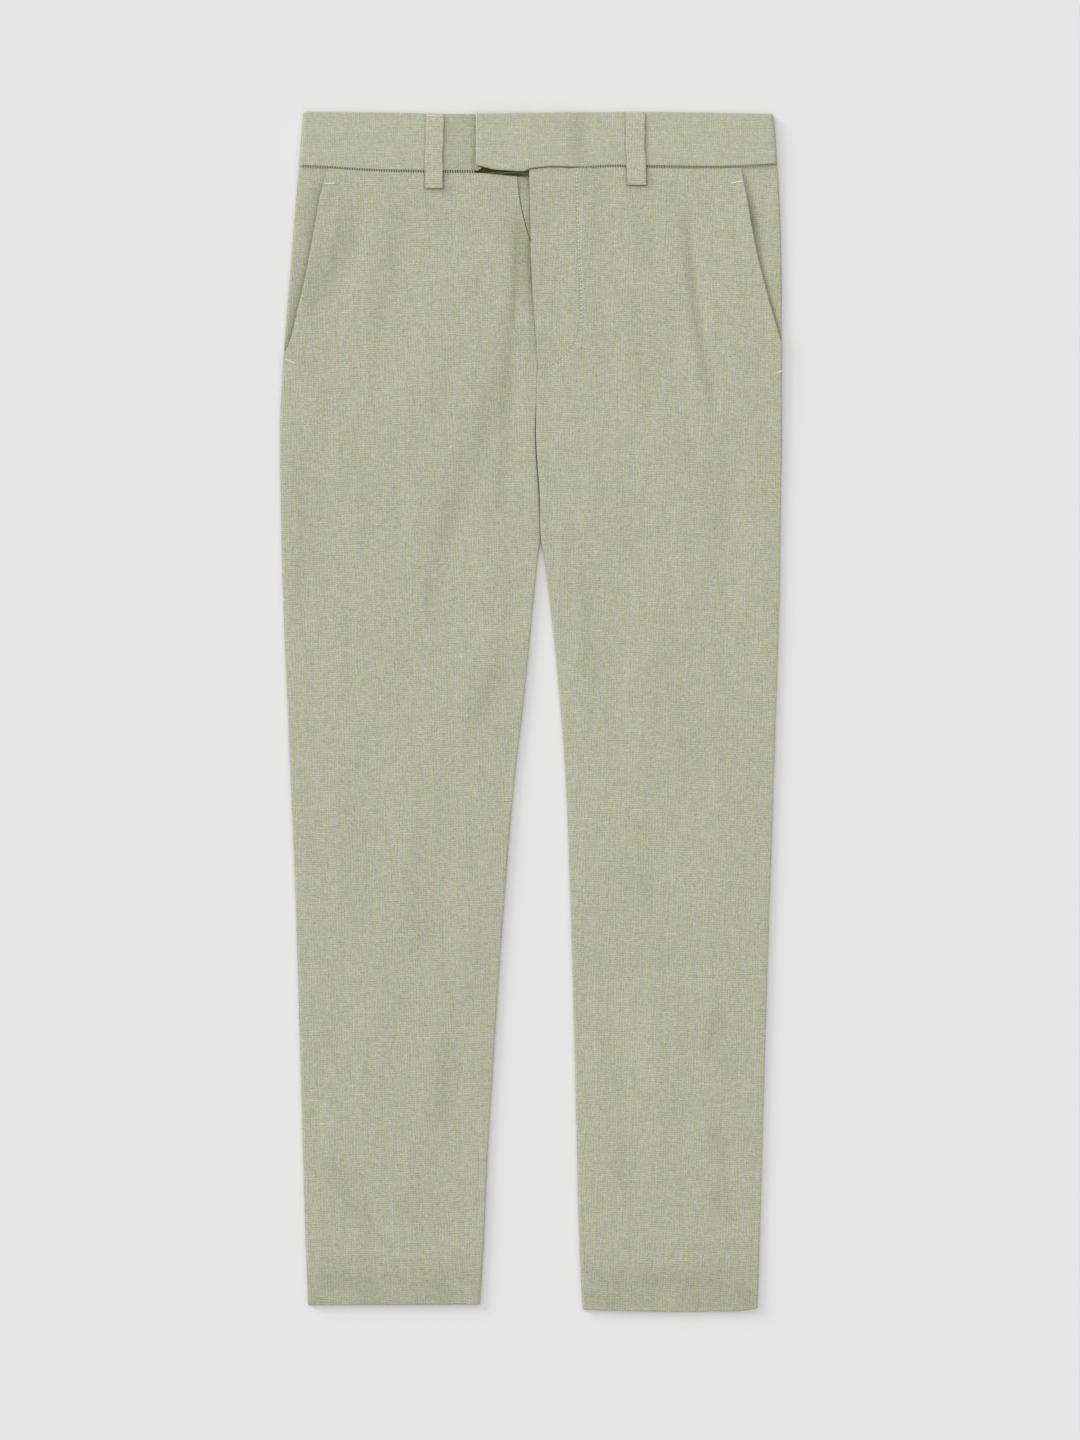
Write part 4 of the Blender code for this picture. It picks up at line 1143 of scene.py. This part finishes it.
def linen(name, colour, turn=0.0, leg=False, yarn=1.0):
    """Plain-weave linen: uneven yarns, ribs of light and dark, slubs, faint tints, and each piece's
    painted shade and painted light.
    """
    material, tree, shader = new_material(name, 0.92, 0.18)
    place = node(tree, "TexCoord", out="Object")
    x, y, z = separated(tree, node(tree, "Mapping", {"Vector": place, "Rotation": (0.0, 0.0, turn)}))
    level = z * 90.0

    def grain(*spot, detail=1.0):
        settings = {"Vector": joined(tree, *spot), "Scale": 1.0, "Detail": detail}
        return node(tree, "TexNoise", settings, "Fac")

    def cells(per_x, per_y, layer=0.0, detail=1.0):
        """Noise with so many cells to a metre across and along the cloth."""
        return grain(x * per_x, y * per_y, level + layer, detail=detail)

    def swing(value, amount):
        return (value - 0.5) * amount

    def ranged(value, from_min, from_max, to_min, to_max, **settings):
        limits = {"From Min": from_min, "From Max": from_max, "To Min": to_min, "To Max": to_max}
        return node(tree, "MapRange", {"Value": value, **limits}, **settings)

    def rib(across, width, phase, strength):
        """Fine ribs whose spacing wanders, stronger in some places than in others."""
        return (across * (2 * np.pi / width) + phase * RIB_PHASE).math("SINE") * strength

    warp = (x + swing(cells(45.0, 30.0), YARN_DRIFT)) / WARP_PITCH
    weft = (y + swing(cells(58.0, 39.0, 3.0), YARN_DRIFT)) / WEFT_PITCH
    warp_number, weft_number = warp.math("FLOOR"), weft.math("FLOOR")
    warp_across, weft_across = warp.math("FRACT") - 0.5, weft.math("FRACT") - 0.5
    warp_round, weft_round = warp_across * warp_across, weft_across * weft_across
    warp_tone = grain(warp_number * 7.31, y * 80.0, level)
    weft_tone = grain(x * 170.0, weft_number * 5.73, level)
    rib_gain = cells(150.0, 150.0, 9.0, 0.0)
    warp_rib = rib(x, WARP_RIB, cells(110.0, 60.0), ranged(rib_gain, 0.3, 0.6, 0.012, 0.080))
    weft_rib = rib(y, WEFT_RIB, cells(60.0, 110.0, 5.0), ranged(rib_gain, 0.4, 0.7, 0.104, 0.014))
    speck = cells(1100.0, 1100.0)
    slub = ranged(grain(x * 60.0, weft_number * 3.19, level), 0.66, 0.82, 0.0, 0.20)

    yarns = swing(warp_tone, 0.27) + swing(weft_tone, 0.22) + swing(speck, 0.60)
    yarns = yarns + (warp_round + weft_round) * -0.48 + warp_rib + weft_rib
    broad = swing(cells(420.0, 420.0, 0.0, 0.0), 0.12) + swing(cells(46.0, 24.0), 0.025)
    broad = broad + swing(cells(200.0, 8.0), 0.05)
    bright = yarns * yarn + broad + slub + (1.06 - 0.08 * (1 - yarn))
    if leg:
        _, height_up, _ = separated(tree, place)
        for low, high, low_share in LEG_PAINTED_SHADES:
            shaded = ranged(height_up, low, high, low_share, 1.0, interpolation_type="SMOOTHSTEP")
            bright = bright * shaded
    yarn_tint = grain(warp_number * 3.77, y * 60.0, level, detail=0.0)
    warm = swing(cells(150.0, 60.0), 0.13) + swing(yarn_tint, 0.10) + 1.0
    cool = swing(cells(240.0, 100.0, 2.0), 0.28) + swing(warp_tone, 0.14) + 1.0
    # painted shade and painted light from each piece's attribute, greener in the shade
    darker = node(tree, "Attribute", out="Fac", attribute_name=PAINTED_SHADE_NAME)
    tints = (bright * warm, bright, bright * cool)
    channels = [tint * (darker * -loss + 1.0) for tint, loss in zip(tints, PAINTED_SHADE_BY_CHANNEL)]
    paint(tree, shader, colour, joined(tree, *channels))

    on_top = (warp_number + weft_number).math("FLOORED_MODULO", 2.0)
    over_warp = warp_round * -3.4 + weft_round * -1.4
    over_weft = weft_round * -3.4 + warp_round * -1.4
    relief = node(tree, "Mix", {0: on_top, 2: over_warp, 3: over_weft}) + swing(speck, 1.0)
    bump = node(tree, "Bump", {"Strength": 0.3, "Distance": 0.0001, "Height": relief})
    tree.links.new(bump.socket, shader.inputs["Normal"])
    shader.inputs["Sheen Weight"].default_value = 0.05
    shader.inputs["Sheen Roughness"].default_value = 0.6
    return material


def thread_material(name, colour):
    """Spun thread: a fine twist in its tone."""
    material, tree, shader = new_material(name, 0.7, 0.3)
    place = node(tree, "TexCoord", out="Object")
    twist = node(tree, "TexNoise", {"Vector": place, "Scale": 3200.0, "Detail": 2.0}, "Fac")
    share = twist * 0.22 + 0.89
    paint(tree, shader, colour, joined(tree, share, share, share))
    return material


# ---- Stage ----
def stage():
    """A plain pale floor, even light from all round and a soft sun from the upper left."""
    pale, _, shader = new_material("pale_floor", 1.0, 0.0)
    shader.inputs["Base Color"].default_value = (FLOOR_ALBEDO, FLOOR_ALBEDO, FLOOR_ALBEDO, 1.0)
    half = FLOOR_SIZE / 2
    corners = [(x * half, y * half, FLOOR_Z) for x, y in ((-1, -1), (1, -1), (1, 1), (-1, 1))]
    new_object("floor", corners, [(0, 1, 2, 3)], pale)

    backdrop = linear(FLOOR_LEVEL)
    light_needed = backdrop / FLOOR_ALBEDO
    peak = (light_needed * (1 - SUN_SHARE) - AROUND) * (OVERHEAD_FOCUS + 2) / 2
    world = bpy.data.worlds.new("overhead_light")
    world.use_nodes = True
    tree = world.node_tree
    background = tree.nodes["Background"]
    background.inputs["Color"].default_value = (1.0, 1.0, 1.0, 1.0)
    _, _, upward = separated(tree, node(tree, "TexCoord", out="Generated"))
    light = upward.math("MAXIMUM", 0.0).math("POWER", OVERHEAD_FOCUS) * peak + AROUND
    seen = node(tree, "LightPath", out="Is Camera Ray")
    strength = node(tree, "Mix", {0: seen, 2: light, 3: backdrop})
    tree.links.new(strength.socket, background.inputs["Strength"])
    bpy.context.scene.world = world

    sun = bpy.data.lights.new("soft_sun", "SUN")
    sun.energy = light_needed * SUN_SHARE * np.pi / np.sin(SUN_HEIGHT)
    sun.angle = SUN_ANGLE
    lamp = bpy.data.objects.new("soft_sun", sun)
    level = np.cos(SUN_HEIGHT)
    toward = Vector((level * np.cos(SUN_BEARING), level * np.sin(SUN_BEARING), np.sin(SUN_HEIGHT)))
    lamp.rotation_euler = toward.to_track_quat("Z", "Y").to_euler()
    lamp.location = toward * 2
    bpy.context.scene.collection.objects.link(lamp)


def camera():
    """Straight above, with the photo's framing."""
    data = bpy.data.cameras.new("above")
    data.type = "PERSP"
    data.lens = LENS
    data.sensor_width = SENSOR
    view = bpy.data.objects.new("above", data)
    view.location = (*PICTURE_MIDDLE, PICTURE_HEIGHT * LENS / SENSOR + FRONT_EDGE_Z)
    bpy.context.scene.collection.objects.link(view)
    bpy.context.scene.camera = view


# ---- The pieces ----
def ride(piece):
    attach(piece, "root")
    return piece


def build():
    bpy.context.scene.view_settings.view_transform = "Standard"
    thread = thread_material("linen_thread", THREAD)
    tack_thread = thread_material("pale_thread", TACK)
    fly_stitches = ride(fly_stitching(thread_material("fly_thread", FLY_THREAD)))
    for side, name in NAME.items():
        leg = linen("linen_leg_" + name, LINEN, side * np.radians(1.6), leg=True)
        back = back_shell(side, leg)
        front = front_shell(side, leg)
        pocket = facing_shell(side, linen("linen_pocket_" + name, LINEN_POCKET, side * np.radians(5)))
        band = band_shell(side, linen("linen_band_" + name, LINEN_BAND, np.radians(90 + side), yarn=0.8))
        loop = loop_shell(side, linen("linen_loop_" + name, LINEN_LOOP, np.radians(0.8)))
        for piece, node_name in (
            (back, "back_panel_"),
            (front, "front_panel_"),
            (pocket, "pocket_facing_"),
            (band, "waistband_"),
            (loop, "belt_loop_"),
        ):
            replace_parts(ride(piece), node_name + name)
        seam = ride(waist_seam_threads(side, thread))
        hem = ride(hem_stitches(side, thread))
        tacks = []
        for ends in POCKET_TACKS[side]:
            tacks += bar_tack(side, ends, TACK_WIDTH, front_surface)
        if side == RIGHT:
            loop_top = BAND_TOP_Z + GAP + LOOP_WALL + 0.00012
            tacks += bar_tack(side, LOOP_TACK, 0.0007, lambda s, x, d: np.full(2, loop_top))
        tacks = ride(sewing("bar_tacks_" + name, tacks, TACK_THREAD_RADIUS, tack_thread))
        [seam, hem, tacks] + ([fly_stitches] if side == LEFT else [])
    shield = ride(shield_shell(linen("linen_shield", LINEN, np.radians(1))))
    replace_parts(shield, "fly_shield")
    zip_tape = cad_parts["fly_zip"]
    zip_tape.data.materials.clear()
    zip_tape.data.materials.append(linen("zip_tape", ZIP_TAPE, 0.0, yarn=0.6))


stage()
camera()
build()
